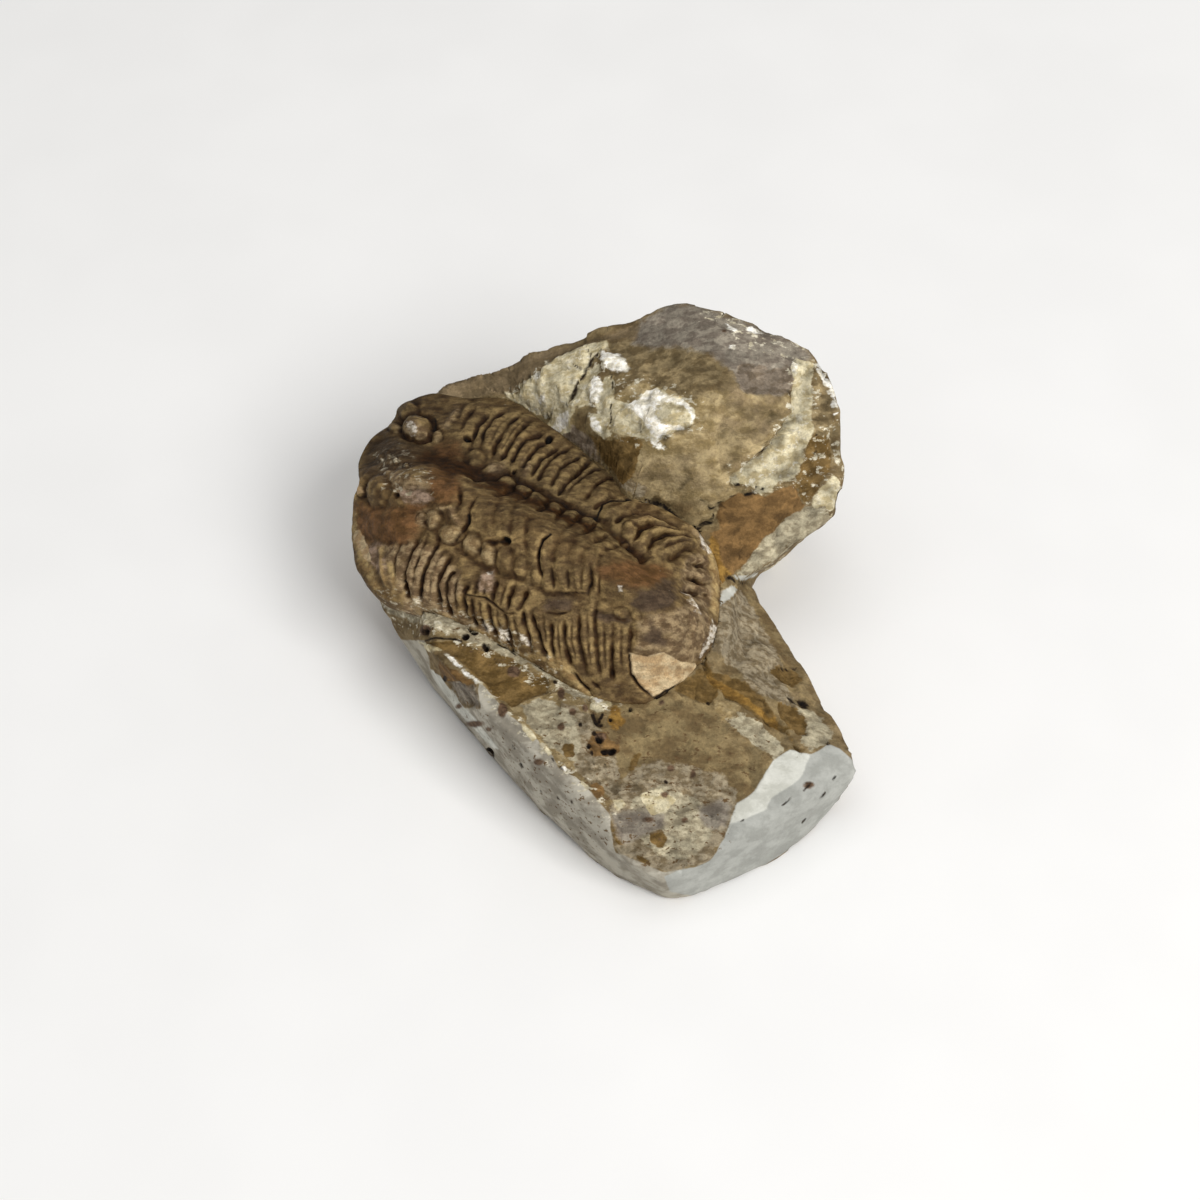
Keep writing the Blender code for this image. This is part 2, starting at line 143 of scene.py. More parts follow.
# Furrows sunk into the shell and ridges raised from it: depth (mm, negative is sunk), half width (pixels)
# and their lines on the photograph. The fine cracks are also dark, and so are in both tables of lines.
SHELL_CRACKS = [
    [(503, 635), (516, 654)],
    [(593, 683), (599.5, 689.5)],
]
SHELL_LINES = {
    "deep rib furrows": (-0.75, 2.3, [
        [(421, 533), (411.5, 548.5), (405, 560), (402.5, 571), (402, 582), (405, 590), (409, 600)],
        [(451, 557), (444.5, 566), (439.5, 575), (437.5, 584), (438, 598), (441, 609)],
        [(543.5, 434.5), (535, 434.5), (527, 437), (521, 443.5), (515.5, 452.5), (510.5, 462.5)],
        [(592, 458.5), (581, 467.5), (570.5, 476.5), (561.5, 489), (556.5, 495.5)],
        [(563, 622), (563.5, 638.5), (567.5, 657.5), (571, 668)],
        [(527.5, 589), (524, 598), (518.5, 610)],
        [(612.5, 522.5), (623, 515), (637, 511), (652, 515), (666, 521), (684, 530)],
        [(633, 539), (642, 527.5), (655, 522.5), (669, 526), (686, 533)],
        [(647, 550.5), (654.5, 539), (665, 534), (680, 533), (694, 539)],
        [(688, 564), (712, 567)],
        [(685.5, 578), (710.5, 583.5)],
        [(684, 591), (706.5, 595)],
    ]),
    "rib furrows": (-0.55, 2.1, [
        [(438, 539), (432, 555), (425.5, 566), (421.5, 576.5), (419.5, 594), (421, 603)],
        [(455, 571), (450, 574), (446, 581.5), (444.5, 597), (447, 608.5), (452, 618)],
        [(469, 583), (463.5, 592), (463, 602), (465, 615), (470, 626)],
        [(470, 597), (470.5, 606), (472, 621), (477, 629)],
        [(480, 617), (481.5, 625), (486, 634)],
        [(486.5, 603), (488, 615), (490.5, 626), (496, 638)],
        [(503, 612), (506, 621), (507, 631), (512, 646)],
        [(523.5, 608.5), (523.5, 621), (526, 635), (531, 651)],
        [(531.5, 612), (535, 628), (540, 645), (546, 660)],
        [(549.5, 622), (551, 632), (550, 645), (554, 662)],
        [(578.5, 611.5), (578.5, 632), (580.5, 651), (582, 659), (586, 673)],
        [(596, 606.5), (595, 619), (595.5, 642), (597.5, 664), (600, 676)],
        [(613, 624.5), (611.5, 645), (611.5, 669), (613, 682)],
        [(630, 624.5), (630, 645), (630, 655)],
        [(479, 576.5), (474, 589), (472.5, 595)],
        [(498, 578), (493, 589), (491, 602)],
        [(516, 583), (509, 598), (507, 611)],
        [(490.5, 412), (478, 425), (474, 436), (470, 448)],
        [(507, 409.5), (493, 417), (484, 431), (480, 446.5)],
        [(521, 414.5), (509.5, 421), (502, 434), (494, 446.5), (492, 457)],
        [(531, 421), (518.5, 431), (511, 441.5), (506, 451.5), (499.5, 459)],
        [(550, 439.5), (538.5, 443.5), (531, 453.5), (526, 461), (520, 470)],
        [(561.5, 444.5), (551.5, 451), (542.5, 457.5), (537.5, 465), (531, 475)],
        [(572, 446), (559, 451), (549, 460), (542.5, 469), (535, 481.5)],
        [(583, 453.5), (572, 460), (561.5, 466.5), (555.5, 476.5), (550, 486.5)],
        [(604, 469), (595, 467.5), (583.5, 474), (574.5, 481.5), (568, 490)],
        [(618, 478), (607.5, 477), (600, 481.5), (592, 488), (584.5, 499.5)],
        [(621.5, 494.5), (610, 497), (598.5, 503.5), (592, 508.5)],
        [(591, 564.5), (590, 580), (588, 594)],
    ]),
    "faint rib furrows": (-0.26, 1.4, [
        [(400, 541), (396, 553), (393, 566), (395, 580)],
        [(428.5, 535), (420, 552), (413, 568), (411, 590)],
        [(445, 551), (436, 563), (430, 577), (430, 600)],
        [(459, 575), (455, 585), (454, 600), (457, 614)],
        [(487, 578), (483, 590), (482, 597)],
        [(507, 583), (502, 594), (499, 606)],
        [(478, 600), (479, 610), (481, 622)],
        [(495.5, 605), (497, 618), (500, 632)],
        [(514, 616), (515, 628), (519, 642)],
        [(543, 612), (543.5, 628), (546, 648)],
        [(556.5, 622), (557, 640), (561, 660)],
        [(571, 620), (571.5, 640), (575, 662)],
        [(587, 612), (587.5, 640), (590, 666)],
        [(604, 622), (603.5, 645), (605, 670)],
        [(621, 625), (621, 645), (622, 668)],
        [(476, 408), (466, 420), (460, 432)],
        [(499, 411), (486, 422), (478, 440)],
        [(514, 413), (500, 424), (489, 445)],
        [(526, 418), (512, 430), (500, 452)],
        [(540, 441), (530, 446), (522, 460)],
        [(566, 448), (552, 457), (541, 472)],
        [(578, 451), (565, 459), (552, 476)],
        [(598, 464), (584, 472), (572, 485)],
        [(611, 474), (597, 479), (584, 492)],
        [(655, 553), (668, 545), (684, 541), (697, 543)],
        [(551, 563), (552, 578), (554, 592)],
        [(567, 566), (568, 580), (567, 592)],
        [(583, 566), (581, 580), (580, 592)],
        [(599, 571), (598, 585), (597, 598)],
    ]),
    "upper axial furrow": (-0.75, 3.6, [
        [(470, 474), (480, 475), (493, 474), (505, 471), (517, 478), (528, 483), (536, 486), (545, 493),
         (556, 496), (566, 502), (574, 507), (585, 510), (595, 514), (607, 523), (618, 534), (630, 544),
         (642, 553), (647, 564)],
    ]),
    "lower axial furrow": (-0.28, 3.2, [
        [(452, 545), (460, 553), (478, 565), (497, 572), (514, 577), (530, 585), (545, 592), (560, 594),
         (586, 594)],
        [(595, 612), (612, 619), (631, 622)],
    ]),
    "gaps between the upper knobs": (-0.4, 2.0, [
        [(516, 480), (514, 488), (505, 492), (490, 494)],
        [(533, 487), (530, 494), (519, 499)],
        [(549, 497), (546, 505), (536, 511)],
        [(565, 504), (562, 513), (554, 521)],
        [(582, 511), (577, 520), (567, 527)],
        [(599, 518), (592, 527), (579, 534)],
        [(613, 530), (603, 538), (590, 544)],
        [(625, 541), (614, 547), (602, 551)],
    ]),
    "rings of the axis": (-0.22, 2.6, [
        [(505, 492), (497, 503), (493, 516), (492, 530)],
        [(519, 499), (512, 510), (509, 524), (510, 538)],
        [(536, 511), (527, 522), (524, 538), (527, 556)],
        [(567, 527), (557, 538), (553, 552), (553, 566)],
        [(579, 534), (571, 544), (567, 556), (567, 568)],
        [(590, 544), (584, 552), (581, 562)],
        [(603, 550), (599, 560), (597, 572)],
    ]),
    "neck furrow": (-0.6, 2.0, [
        [(477, 497), (469, 509), (467, 523), (459, 535), (452, 545)],
        [(459, 487), (460, 499), (457, 508)],
    ]),
    "wedge furrow": (-0.7, 3.6, [
        [(664, 559), (677, 555), (687, 549), (700, 547.5)],
    ]),
    "step of the bent ribs": (-0.35, 1.3, [
        [(462.5, 594.5), (474, 596), (483, 598), (492, 603), (498, 608.5), (504.5, 613.5), (517.5, 615)],
        [(561, 592.5), (589, 592.5)],
        [(545, 594), (562, 596)],
        [(543, 613), (556, 614), (569, 611)],
    ]),
    "cracks of the shell": (-0.5, 1.2, [
        [(551, 533), (543, 539), (538.5, 549), (537.5, 558), (540, 571), (542, 576)],
        [(597, 515), (602.5, 502), (618, 498), (633, 499), (650, 502.5), (665, 508.5), (680, 515),
         (699, 528.5), (707, 541)],
        [(630, 652), (630, 658), (631.5, 674), (640, 687), (654, 697.5)],
        [(469, 515), (467, 526)],
        [(571, 670), (580, 683), (592, 696)],
        *SHELL_CRACKS,
    ]),
    "ridges of the axis": (0.25, 2.4, [
        [(544, 548), (545, 562), (547, 586)],
        [(560, 568), (561, 578), (566, 589)],
        [(575.5, 567), (577, 580), (579, 590)],
        [(592, 601), (592, 612)],
    ]),
    "edges of the head": (0.4, 2.2, [
        [(380.5, 546), (382, 563), (384, 576), (388, 588)],
        [(458.5, 408), (452, 418), (444.5, 428)],
        [(469, 405), (462, 418)],
        [(432, 508), (450, 508), (459, 524)],
        [(437, 516), (434, 523), (428, 530)],
    ]),
    "ribs of the tail": (0.45, 2.6, [
        [(687, 559), (711, 563)],
        [(686, 573), (711, 577)],
        [(686, 586), (709, 590)],
        [(684, 593), (691, 603), (699, 614)],
        [(600, 521), (607.5, 511), (627, 503.5), (640, 504.5), (659, 512), (672, 518.5), (696, 531)],
        [(621.5, 530), (633, 522.5), (646, 518.5), (662, 521), (684, 529)],
        [(639.5, 544), (647, 535), (658.5, 529), (674, 529), (690, 535)],
        [(654, 551.5), (669.5, 540), (686, 537.5), (699, 541.5)],
    ]),
}

# Knobs of the shell: centre and half sizes on the photograph (pixels) and height (mm, negative is a pit)
SHELL_KNOBS = {
    "upper eye": (417.2, 428, 15.5, 11.5, 1.5),
    "small knob by the eye": (435.7, 435.5, 6, 7, 0.45),
    "knob over the nose": (394.8, 427.4, 6.5, 4.5, 0.35),
    "shoulder of the cheek": (408, 411, 9, 10, 0.5),
    "chip of the nose": (361.7, 491, 5, 6.5, 0.4),
    "lower eye": (377, 491, 11, 16, 0.7),
    "pit by the lower eye": (396, 495.6, 4, 4, -0.5),
    "hump of the nose": (398, 452, 30, 14, 0.5),
    "hump of the forehead": (420, 476, 26, 13, 0.5),
    "cheek by the lower eye": (392, 525, 30, 16, 0.5),
    "crumb on the cheek": (389, 458, 3, 3, 0.3),
    "second crumb": (396, 461, 2.6, 2.4, 0.3),
    "third crumb": (405.7, 466.3, 3.4, 3, 0.35),
    "fourth crumb": (380.8, 459.3, 3, 3, 0.25),
    "first bead": (421.6, 518, 5, 5, 0.25),
    "second bead": (433, 519, 8, 8.5, 0.4),
    "third bead": (451, 534.5, 12, 8.5, 0.4),
    "fourth bead": (471, 544.7, 9, 11, 0.42),
    "fifth bead": (488, 554.5, 7, 11.5, 0.38),
    "sixth bead": (503.5, 561, 7.5, 13, 0.35),
    "seventh bead": (520, 568, 6, 12, 0.22),
    "eighth bead": (536, 578, 5, 10, 0.2),
    "hollow of the axis": (504.5, 541, 6.5, 4.5, -0.8),
    "hollow beside it": (494, 542, 8, 4, -0.35),
    "lobe by the neck": (475, 457.5, 10, 8, 0.4),
    "light lobe": (495, 469.5, 13, 6.5, 0.4),
    "first upper knob": (507.5, 479, 9.5, 6, 0.45),
    "second upper knob": (524, 487.5, 8.5, 6, 0.45),
    "third upper knob": (539, 495, 10.5, 6.5, 0.4),
    "fourth upper knob": (556.5, 504.5, 9.5, 6.5, 0.4),
    "fifth upper knob": (572, 513.5, 9.5, 6, 0.35),
    "sixth upper knob": (588, 520, 8, 5.5, 0.3),
    "knob before the tail": (630, 530.5, 8, 7, 0.5),
    "white knob": (626.5, 541.5, 3.8, 3.2, 0.35),
    "black hole": (467.6, 438.2, 4, 4, -1.3),
    "pinhole": (514, 470, 2.4, 2.4, -0.8),
    "hole at the stone": (549.5, 438.5, 4.5, 3.5, -1.0),
    "lump of the last rib": (620.5, 613.5, 7.5, 6, 0.3),
    "lump before it": (603, 606.5, 7.5, 5.5, 0.2),
    "pale lump": (636, 615.5, 5, 5, 0.15),
    "rib end under the light": (526, 466, 6, 9, 0.25),
    "pink bent rib": (484, 580, 9, 9, 0.3),
    "pit of the eighth rib": (404, 589, 3.5, 4, -0.5),
}

# Patches of colour on the shell, each an outline on the photograph, by finish
SHELL_PATCHES = {
    "grey_green": {
        "nose": [(369, 439), (390, 434), (402, 442), (416.5, 443), (434, 446.5), (450, 445), (448, 452),
                 (437, 457), (429, 465.5), (411, 464.5), (397, 467), (382, 467), (372, 476), (363, 476),
                 (360, 459)],
    },
    "reddish": {
        "cheek": [(356, 503), (372, 508), (386, 512), (402, 505), (420, 500), (428, 506), (418, 516),
                  (420, 528), (408, 540), (392, 546), (380, 545), (365, 542), (356, 528), (351, 516)],
        "end of the axis": [(596, 570), (612, 562), (640, 562), (664, 566), (670, 576), (655, 586),
                            (632, 590), (612, 582), (602, 578)],
        "cheek behind the pink": [(430, 470), (446, 466), (460, 478), (456, 498), (440, 504), (428, 500)],
        "before the hole": [(436, 446), (456, 442), (462, 452), (456, 462), (440, 462)],
    },
    "pink": {
        "forehead": [(398, 488), (414, 486), (428, 490), (432, 498), (424, 504), (408, 503), (400, 497)],
        "bent rib": [(476, 582), (483, 572), (493, 571), (495, 580), (489, 592), (478, 590)],
        "cheek edge": [(366, 548), (374, 540), (382, 545), (380, 560), (384, 575), (374, 566), (366, 558)],
        "streak of the cheek": [(383, 556), (388, 554), (390, 568), (386, 574)],
    },
    "pale": {
        "forehead band": [(387, 471), (398, 470), (402, 480), (414, 482), (428, 481), (430, 488),
                          (412, 488), (400, 490), (390, 486)],
        "upper eye": [(404, 434), (410, 428), (420, 428), (426, 434), (420, 440), (408, 440)],
        "streak behind the eye": [(456, 406), (461, 408), (448, 428), (443, 427)],
        "rib ends by the head": [(404, 592), (420, 596), (440, 600), (452, 608), (466, 621), (480, 625),
                                 (494, 636), (480, 630), (462, 624), (446, 614), (424, 608), (404, 602)],
        "tail mottle": [(636, 622), (668, 612), (690, 604), (708, 612), (714, 632), (708, 648),
                        (698, 660), (676, 660), (652, 656), (634, 652), (640, 636)],
        "tail ribs": [(688, 556), (708, 556), (712, 575), (714, 600), (708, 610), (694, 604), (684, 590),
                      (682, 570)],
        "tail rim": [(690, 520), (699, 526), (708, 540), (712, 556), (704, 549), (696, 536)],
        "first beads": [(418, 513), (432, 510), (438, 516), (436, 526), (426, 526), (418, 522)],
        "rim of the bead": [(438, 508), (452, 508), (461, 524), (458, 526), (448, 512), (438, 511)],
        "ribs of the cheek": [(383, 546), (402, 542), (420, 542), (440, 552), (458, 572), (462, 596),
                              (452, 606), (430, 602), (404, 594), (390, 586)],
        "light lobe": [(484, 472), (490, 464), (504, 464), (506, 472), (494, 477)],
        "rib end": [(522, 462), (528, 458), (530, 468), (524, 474)],
    },
    "bead": {
        "third": [(441, 531), (446, 526), (456, 526), (461, 532), (458, 541), (448, 543), (442, 538)],
        "fourth": [(463, 541), (468, 535), (476, 537), (480, 546), (476, 554), (466, 552)],
        "fifth": [(481, 552), (486, 545), (494, 549), (494, 562), (486, 564), (481, 558)],
        "second": [(427, 514), (433, 511), (439, 517), (437, 526), (430, 527)],
        "knob by the eye": [(431, 431), (437, 428), (441, 436), (437, 442), (431, 440)],
        "knob over the nose": [(389, 426), (395, 423), (401, 427), (396, 431)],
    },
    "chip": {
        "broken tail": [(630, 652.5), (648, 656.5), (663, 653.5), (675, 659), (695, 664), (699, 668),
                        (682, 680), (654, 697), (640, 687), (631.5, 674), (630, 658)],
        "broken cheek": [(355, 530), (360, 531), (364, 540), (369, 548), (372, 562), (366, 560),
                         (358, 548), (354, 538)],
        "broken nose": [(358, 486), (363, 488), (364, 493), (358, 496), (357, 490)],
    },
    "orange_edge": {
        "tail edge": [(704, 540), (710, 545), (719, 566), (720, 588), (717, 614),
                      (712, 614), (713.5, 590), (711, 568), (706, 552)],
        "cream streak": [(379.5, 547), (382.5, 549), (384.5, 563), (387, 577), (390, 588), (386, 586),
                         (382, 572), (380, 558)],
        "second cream streak": [(388, 562), (391, 562), (394, 576), (397, 590), (393, 590), (390, 578)],
        "cheek foot": [(352, 508), (357, 514), (357, 530), (364, 552), (374, 575), (380, 590), (374, 590),
                       (362, 566), (352, 540)],
        "under the nose": [(356, 480), (362, 478), (364, 484), (358, 496), (355, 502), (353, 494)],
        "under the last ribs": [(545, 650), (556, 656), (572, 668), (592, 694), (600, 704), (584, 694),
                                (566, 676), (545, 660)],
    },
    "dark_grey": {
        "tail stain": [(630, 606), (635, 596), (644, 591), (657, 586), (664, 578), (673, 581), (675, 594),
                       (677, 601), (670, 606.5), (657, 613), (644, 611.5), (634, 610)],
        "tail blotch": [(650.5, 622), (654, 627), (662, 633), (665.5, 638.5), (664.5, 647), (653, 645),
                        (644, 640), (645, 633), (649, 629)],
        "shade of the last rib": [(594, 611), (610, 613), (622, 619), (631, 618), (631, 626), (612, 624),
                                  (595, 618)],
        "flat of the flank": [(545, 597), (562, 597), (572, 600), (570, 610), (556, 612), (545, 611)],
    },
    "white": {
        "spot on the axis": [(619, 586.5), (623, 586.5), (623, 591), (619, 591)],
        "crystals of the rib ends": [(480, 622), (487, 624), (492, 630), (488, 635), (481, 628)],
        "second crystals": [(498, 628), (506, 632), (508, 640), (501, 639)],
        "third crystals": [(519, 634), (526, 640), (528, 646), (521, 643)],
        # Painted highlight on the dome of the upper eye
        "eye light": [(409, 432), (415, 430), (418, 434), (412, 437)],
        "bead light": [(488, 571), (492, 571), (492, 575), (488, 575)],
        "rim of the tail": [(698, 531), (704, 540), (711, 552), (708, 553), (700, 543)],
        "line by the tail ribs": [(683, 592), (687, 596), (694, 605), (699, 614), (696, 612), (688, 602)],
        "edge of the tail": [(712, 620), (717, 628), (714, 640), (704, 652), (700, 660), (702, 648),
                             (710, 636)],
    },
    "flecks": {
        "lower margin": [(380, 590), (404, 594), (420, 598), (440, 602), (452, 610), (466, 618), (490, 622),
                         (508, 632), (528, 642), (540, 655), (560, 668), (560, 684), (530, 668),
                         (505, 654), (480, 638), (455, 628), (420, 616), (385, 608)],
        "crumbs of the cheek": [(377, 455), (400, 452), (411, 460), (410, 470), (396, 470), (380, 466)],
        "forehead": [(386, 468), (404, 468), (430, 478), (430, 492), (404, 492), (388, 488)],
    },
}
SHELL_DARK_LINES = {
    "cracks": (1.1, [
        [(551, 533), (543, 539), (539, 548), (538, 558)],
        # Painted shadow: these two lines lie in the gap between the shell's upper margin and the stone
        [(597, 515), (602.5, 502.5), (618, 498.5), (633, 499), (650, 502)],
        [(650, 502), (665, 508), (680, 514.5), (699, 528)],
        [(467.5, 515), (467, 525)],
        # Painted shadow under the tail's overhanging edge
        [(655.5, 698), (668, 690), (682, 681.5), (701, 667)],
        # Painted shade in the recess round the upper eye
        [(435, 418), (436, 424), (433, 430)],
    ]),
    # Besides cracks, most of these lines run along the deepest rib furrows, the neck furrow and the steps of
    # the bent ribs, where their dark is painted shade
    "fine cracks and furrow shade": (0.3, [
        [(538, 558), (540, 569), (542, 575)],
        [(477, 497), (471, 506), (468, 518)],
        [(462.5, 594), (474, 596), (483, 598), (492, 603)],
        [(630, 653), (630, 660), (631.5, 674), (640, 687), (654, 697)],
        [(561, 592.5), (589, 592.5)],
        [(404, 585), (405, 592)],
        [(437.5, 577), (438, 600)],
        [(451, 557), (444.5, 566), (440, 575)],
        [(543.5, 434.5), (535, 434.5), (527, 437), (521, 443.5), (515.5, 452.5), (510.5, 462.5)],
        [(571, 672), (580, 683), (592, 696)],
        [(583, 454), (592, 459), (604, 469), (606, 471)],
        [(607, 477), (618, 478)],
        [(588, 594), (590, 580), (590.5, 566)],
        *SHELL_CRACKS,
    ]),
    # Painted shade: the black laid in these holes and small holes stands in for the shade inside them
    "holes": (2.8, [
        [(467.4, 438.2), (468, 438.8)],
        [(549, 438), (550, 439)],
        [(505, 539.5), (507, 540.5)],
    ]),
    "small holes": (1.2, [
        [(513.5, 469.8), (514.2, 470)],
        [(396, 495), (396.8, 496)],
        [(402, 582), (403, 584)],
        [(594, 516), (595, 514)],
        [(533, 486), (534, 487)],
    ]),
}


def through(knots, values, stations):
    """A smooth curve through values at knots: cubic pieces whose slopes are those of the neighbours."""
    slopes = np.gradient(values, knots, axis=0)
    piece = np.clip(np.searchsorted(knots, stations) - 1, 0, len(knots) - 2)
    width = (knots[piece + 1] - knots[piece])[:, None]
    t = (stations - knots[piece])[:, None] / width
    start, end = values[piece], values[piece + 1]
    rise = end - start
    leave, arrive = slopes[piece] * width, slopes[piece + 1] * width
    bend, twist = 3 * rise - 2 * leave - arrive, leave + arrive - 2 * rise
    return start + t * leave + t ** 2 * bend + t ** 3 * twist


def smooth_step(low, high, value):
    """0 below low, 1 above high and an even change between them."""
    t = np.clip((value - low) / (high - low), 0.0, 1.0)
    return t * t * (3 - 2 * t)


def shell_back(along, across):
    """The shell without its relief: stations along it by places 0 to 6 across its seven rails.

    Each rail is followed to the station, and a smooth curve through the seven points gives the section.
    """
    followed = []
    for points in RAILS.values():
        table = np.array(points, dtype=float)
        followed.append(through(table[:, 0], table[:, 1:], along))
    rails = np.stack(followed, axis=1)
    knots = np.arange(len(RAILS), dtype=float)
    return np.stack([through(knots, section, across) for section in rails])


def grid_normals(points, closed=False):
    """Outward directions on a grid of points: the cross product of its two differences."""
    along = np.gradient(points, axis=0)
    if closed:
        along = (np.roll(points, -1, axis=0) - np.roll(points, 1, axis=0)) / 2
    normals = np.cross(along, np.gradient(points, axis=1))
    return normals / np.maximum(np.linalg.norm(normals, axis=-1, keepdims=True), 1e-9)


def cell_number(cells, seed):
    """A repeatable number from 0 to 1 for each whole-number cell, by mixing its three indices."""
    mixed = cells[..., 0] * 73856093 ^ cells[..., 1] * 19349663 ^ cells[..., 2] * 83492791 ^ seed * 97531
    mixed = (mixed ^ (mixed >> 13)) * 1274126177
    return ((mixed ^ (mixed >> 16)) & 0xFFFFF) / 0xFFFFF


def soft_noise(points, size, seed):
    """Noise from -1 to 1 that changes over a size in mm: numbers at the corners of cubes, blended."""
    scaled = points / size
    cell = np.floor(scaled).astype(np.int64)
    part = scaled - cell
    part = part * part * (3 - 2 * part)
    total = np.zeros(points.shape[:-1])
    for corner in itertools.product((0, 1), repeat=3):
        weight = np.prod(np.where(corner, part, 1 - part), axis=-1)
        total += weight * cell_number(cell + np.array(corner), seed)
    return 2 * total - 1


def scallops(points, size, seed):
    """Shallow hollows with sharp ridges between them, 0 to 1: squared distance from the nearest centre."""
    cell = np.floor(points / size).astype(np.int64)
    nearest = np.full(points.shape[:-1], np.inf)
    for corner in itertools.product((-1, 0, 1), repeat=3):
        near = cell + np.array(corner)
        places = [cell_number(near, seed + axis) for axis in range(3)]
        centre = (near + np.stack(places, axis=-1)) * size
        nearest = np.minimum(nearest, ((points - centre) ** 2).sum(axis=-1))
    return np.clip(nearest / size ** 2, 0, 1)


def along_line(line, places, closed=False):
    """Distance of each place from a line of corners, and how many corners along it the nearest point is."""
    line = np.array(line, dtype=float)
    ends = np.roll(line, -1, axis=0)
    pieces = len(line) if closed else len(line) - 1
    away = np.full(len(places), np.inf)
    along = np.zeros(len(places))
    for index in range(pieces):
        step = ends[index] - line[index]
        t = np.clip((places - line[index]) @ step / (step @ step), 0, 1)
        distance = np.linalg.norm(places - line[index] - t[:, None] * step, axis=-1)
        closer = distance < away
        away[closer] = distance[closer]
        along[closer] = index + t[closer]
    return away, along


def depth_inside(outline, places):
    """Distance from a closed outline, positive inside it: inside is an odd count of edges to the left."""
    away, _ = along_line(outline, places, closed=True)
    outline = np.array(outline, dtype=float)
    inside = np.zeros(len(places), dtype=bool)
    for start, end in zip(outline, np.roll(outline, -1, axis=0)):
        spans = (start[1] > places[:, 1]) != (end[1] > places[:, 1])
        if start[1] != end[1]:
            crossing = start[0] + (places[:, 1] - start[1]) * (end[0] - start[0]) / (end[1] - start[1])
            inside ^= spans & (places[:, 0] < crossing)
    return np.where(inside, away, -away)


# Furrows: the share and width (of the half width) of the wide bell, and the share of the height that is
# left at an end and how far in (line corners) the full height is reached
SHOULDER_SHARE = 0.4
SHOULDER_WIDTH = 2.1
END_SHARE = 0.35
END_LENGTH = 0.6


def line_relief(lines, pixels, strength):
    """Furrows and ridges: across each is a narrow bell on a wide one, and it fades out towards its ends."""
    sunk = np.zeros(len(pixels))
    raised = np.zeros(len(pixels))
    for height, half_width, group in lines.values():
        for line in group:
            away, along = along_line(line, pixels)
            ends = np.minimum(along, len(line) - 1 - along)
            bell = (1 - SHOULDER_SHARE) * np.exp(-(away / half_width) ** 2)
            bell += SHOULDER_SHARE * np.exp(-(away / (SHOULDER_WIDTH * half_width)) ** 2)
            bell *= END_SHARE + (1 - END_SHARE) * smooth_step(0, END_LENGTH, ends)
            if height < 0:
                sunk = np.minimum(sunk, height * bell * strength)
            else:
                raised = np.maximum(raised, height * bell * strength)
    return sunk, raised


def layered_noise(points, layers):
    """The sum of several noises, each given by its height, its size in mm and its seed."""
    return sum(height * soft_noise(points, size, seed) for height, size, seed in layers)


# How traced places wander, across and down: two noises, each by its reach (pixels), size (mm) and seed
WANDER_ACROSS = [(1.0, 1.6, 0), (0.6, 0.6, 5)]
WANDER_DOWN = [(1.0, 1.6, 1), (0.6, 0.6, 6)]


def wandering(pixels, points, seed):
    """Pixels moved by one or two either way, so that nothing traced on the photograph runs too evenly."""
    moved = pixels.copy()
    for axis, layers in enumerate((WANDER_ACROSS, WANDER_DOWN)):
        for reach, size, shift in layers:
            moved[:, axis] += reach * soft_noise(points, size, seed + shift)
    return moved


# Knobs: how quickly the dome falls to its edge and how full it is, and the depth (share of the height),
# place and width (shares of the half sizes) of the moat round it
KNOB_SPREAD = 0.9
KNOB_FULLNESS = 1.4
MOAT_DEPTH = 0.25
MOAT_PLACE = 1.15
MOAT_WIDTH = 0.22


def knob_relief(knobs, pixels):
    """Knobs and pits: a soft dome within its half sizes, with a shallow moat round the raised ones."""
    relief = np.zeros(len(pixels))
    for x, y, half_wide, half_high, height in knobs.values():
        away = np.hypot((pixels[:, 0] - x) / half_wide, (pixels[:, 1] - y) / half_high)
        relief += height * (1 - np.clip(KNOB_SPREAD * away, 0, 1) ** 2) ** KNOB_FULLNESS
        if height > 0:
            relief -= MOAT_DEPTH * height * np.exp(-((away - MOAT_PLACE) / MOAT_WIDTH) ** 2)
    return relief


def smoothed(grid, rounds, closed=False):
    """Numbers on a grid, each replaced round after round by the mean of itself and its four neighbours."""
    for _ in range(rounds):
        wide = np.pad(grid, 1, mode="edge")
        if closed:
            wide[0], wide[-1] = wide[-2], wide[1]
        grid = (grid + wide[2:, 1:-1] + wide[:-2, 1:-1] + wide[1:-1, 2:] + wide[1:-1, :-2]) / 5
    return grid


# Depths inside outlines are kept to a reach (pixels). They end where the surface faces the camera less than
# a least cosine, by so many pixels for each unit of it.
MASK_REACH = 8.0
LEAST_FACING = 0.04
FACING_GAIN = 60.0


def where_seen(depths, facing):
    """The largest of several depths, in pixels, cut off where the surface turns away from the camera."""
    deepest = np.full(len(facing), -MASK_REACH)
    for depth in depths:
        deepest = np.maximum(deepest, depth)
    return np.clip(np.minimum(deepest, (facing - LEAST_FACING) * FACING_GAIN), -MASK_REACH, MASK_REACH)


def patch_mask(patches, pixels, facing):
    """How deep inside any of the outlines each place lies, in pixels, where the camera sees it."""
    return where_seen((depth_inside(outline, pixels) for outline in patches.values()), facing)


def line_mask(lines, pixels, facing):
    """How far inside the painted width of any line each place lies, in pixels, where the camera sees it."""
    drawn = [(half_width, line) for half_width, group in lines.values() for line in group]
    return where_seen((half_width - along_line(line, pixels)[0] for half_width, line in drawn), facing)


def grid_faces(rows, columns, closed=False):
    """Quads of a grid of numbered points, row by row; a closed grid joins its last row to its first."""
    number = np.arange(rows * columns).reshape(rows, columns)
    ends = np.roll(number, -1, axis=0) if closed else number[1:]
    starts = number if closed else number[:-1]
    quads = [starts[:, :-1], ends[:, :-1], ends[:, 1:], starts[:, 1:]]
    return np.stack(quads, axis=-1).reshape(-1, 4)


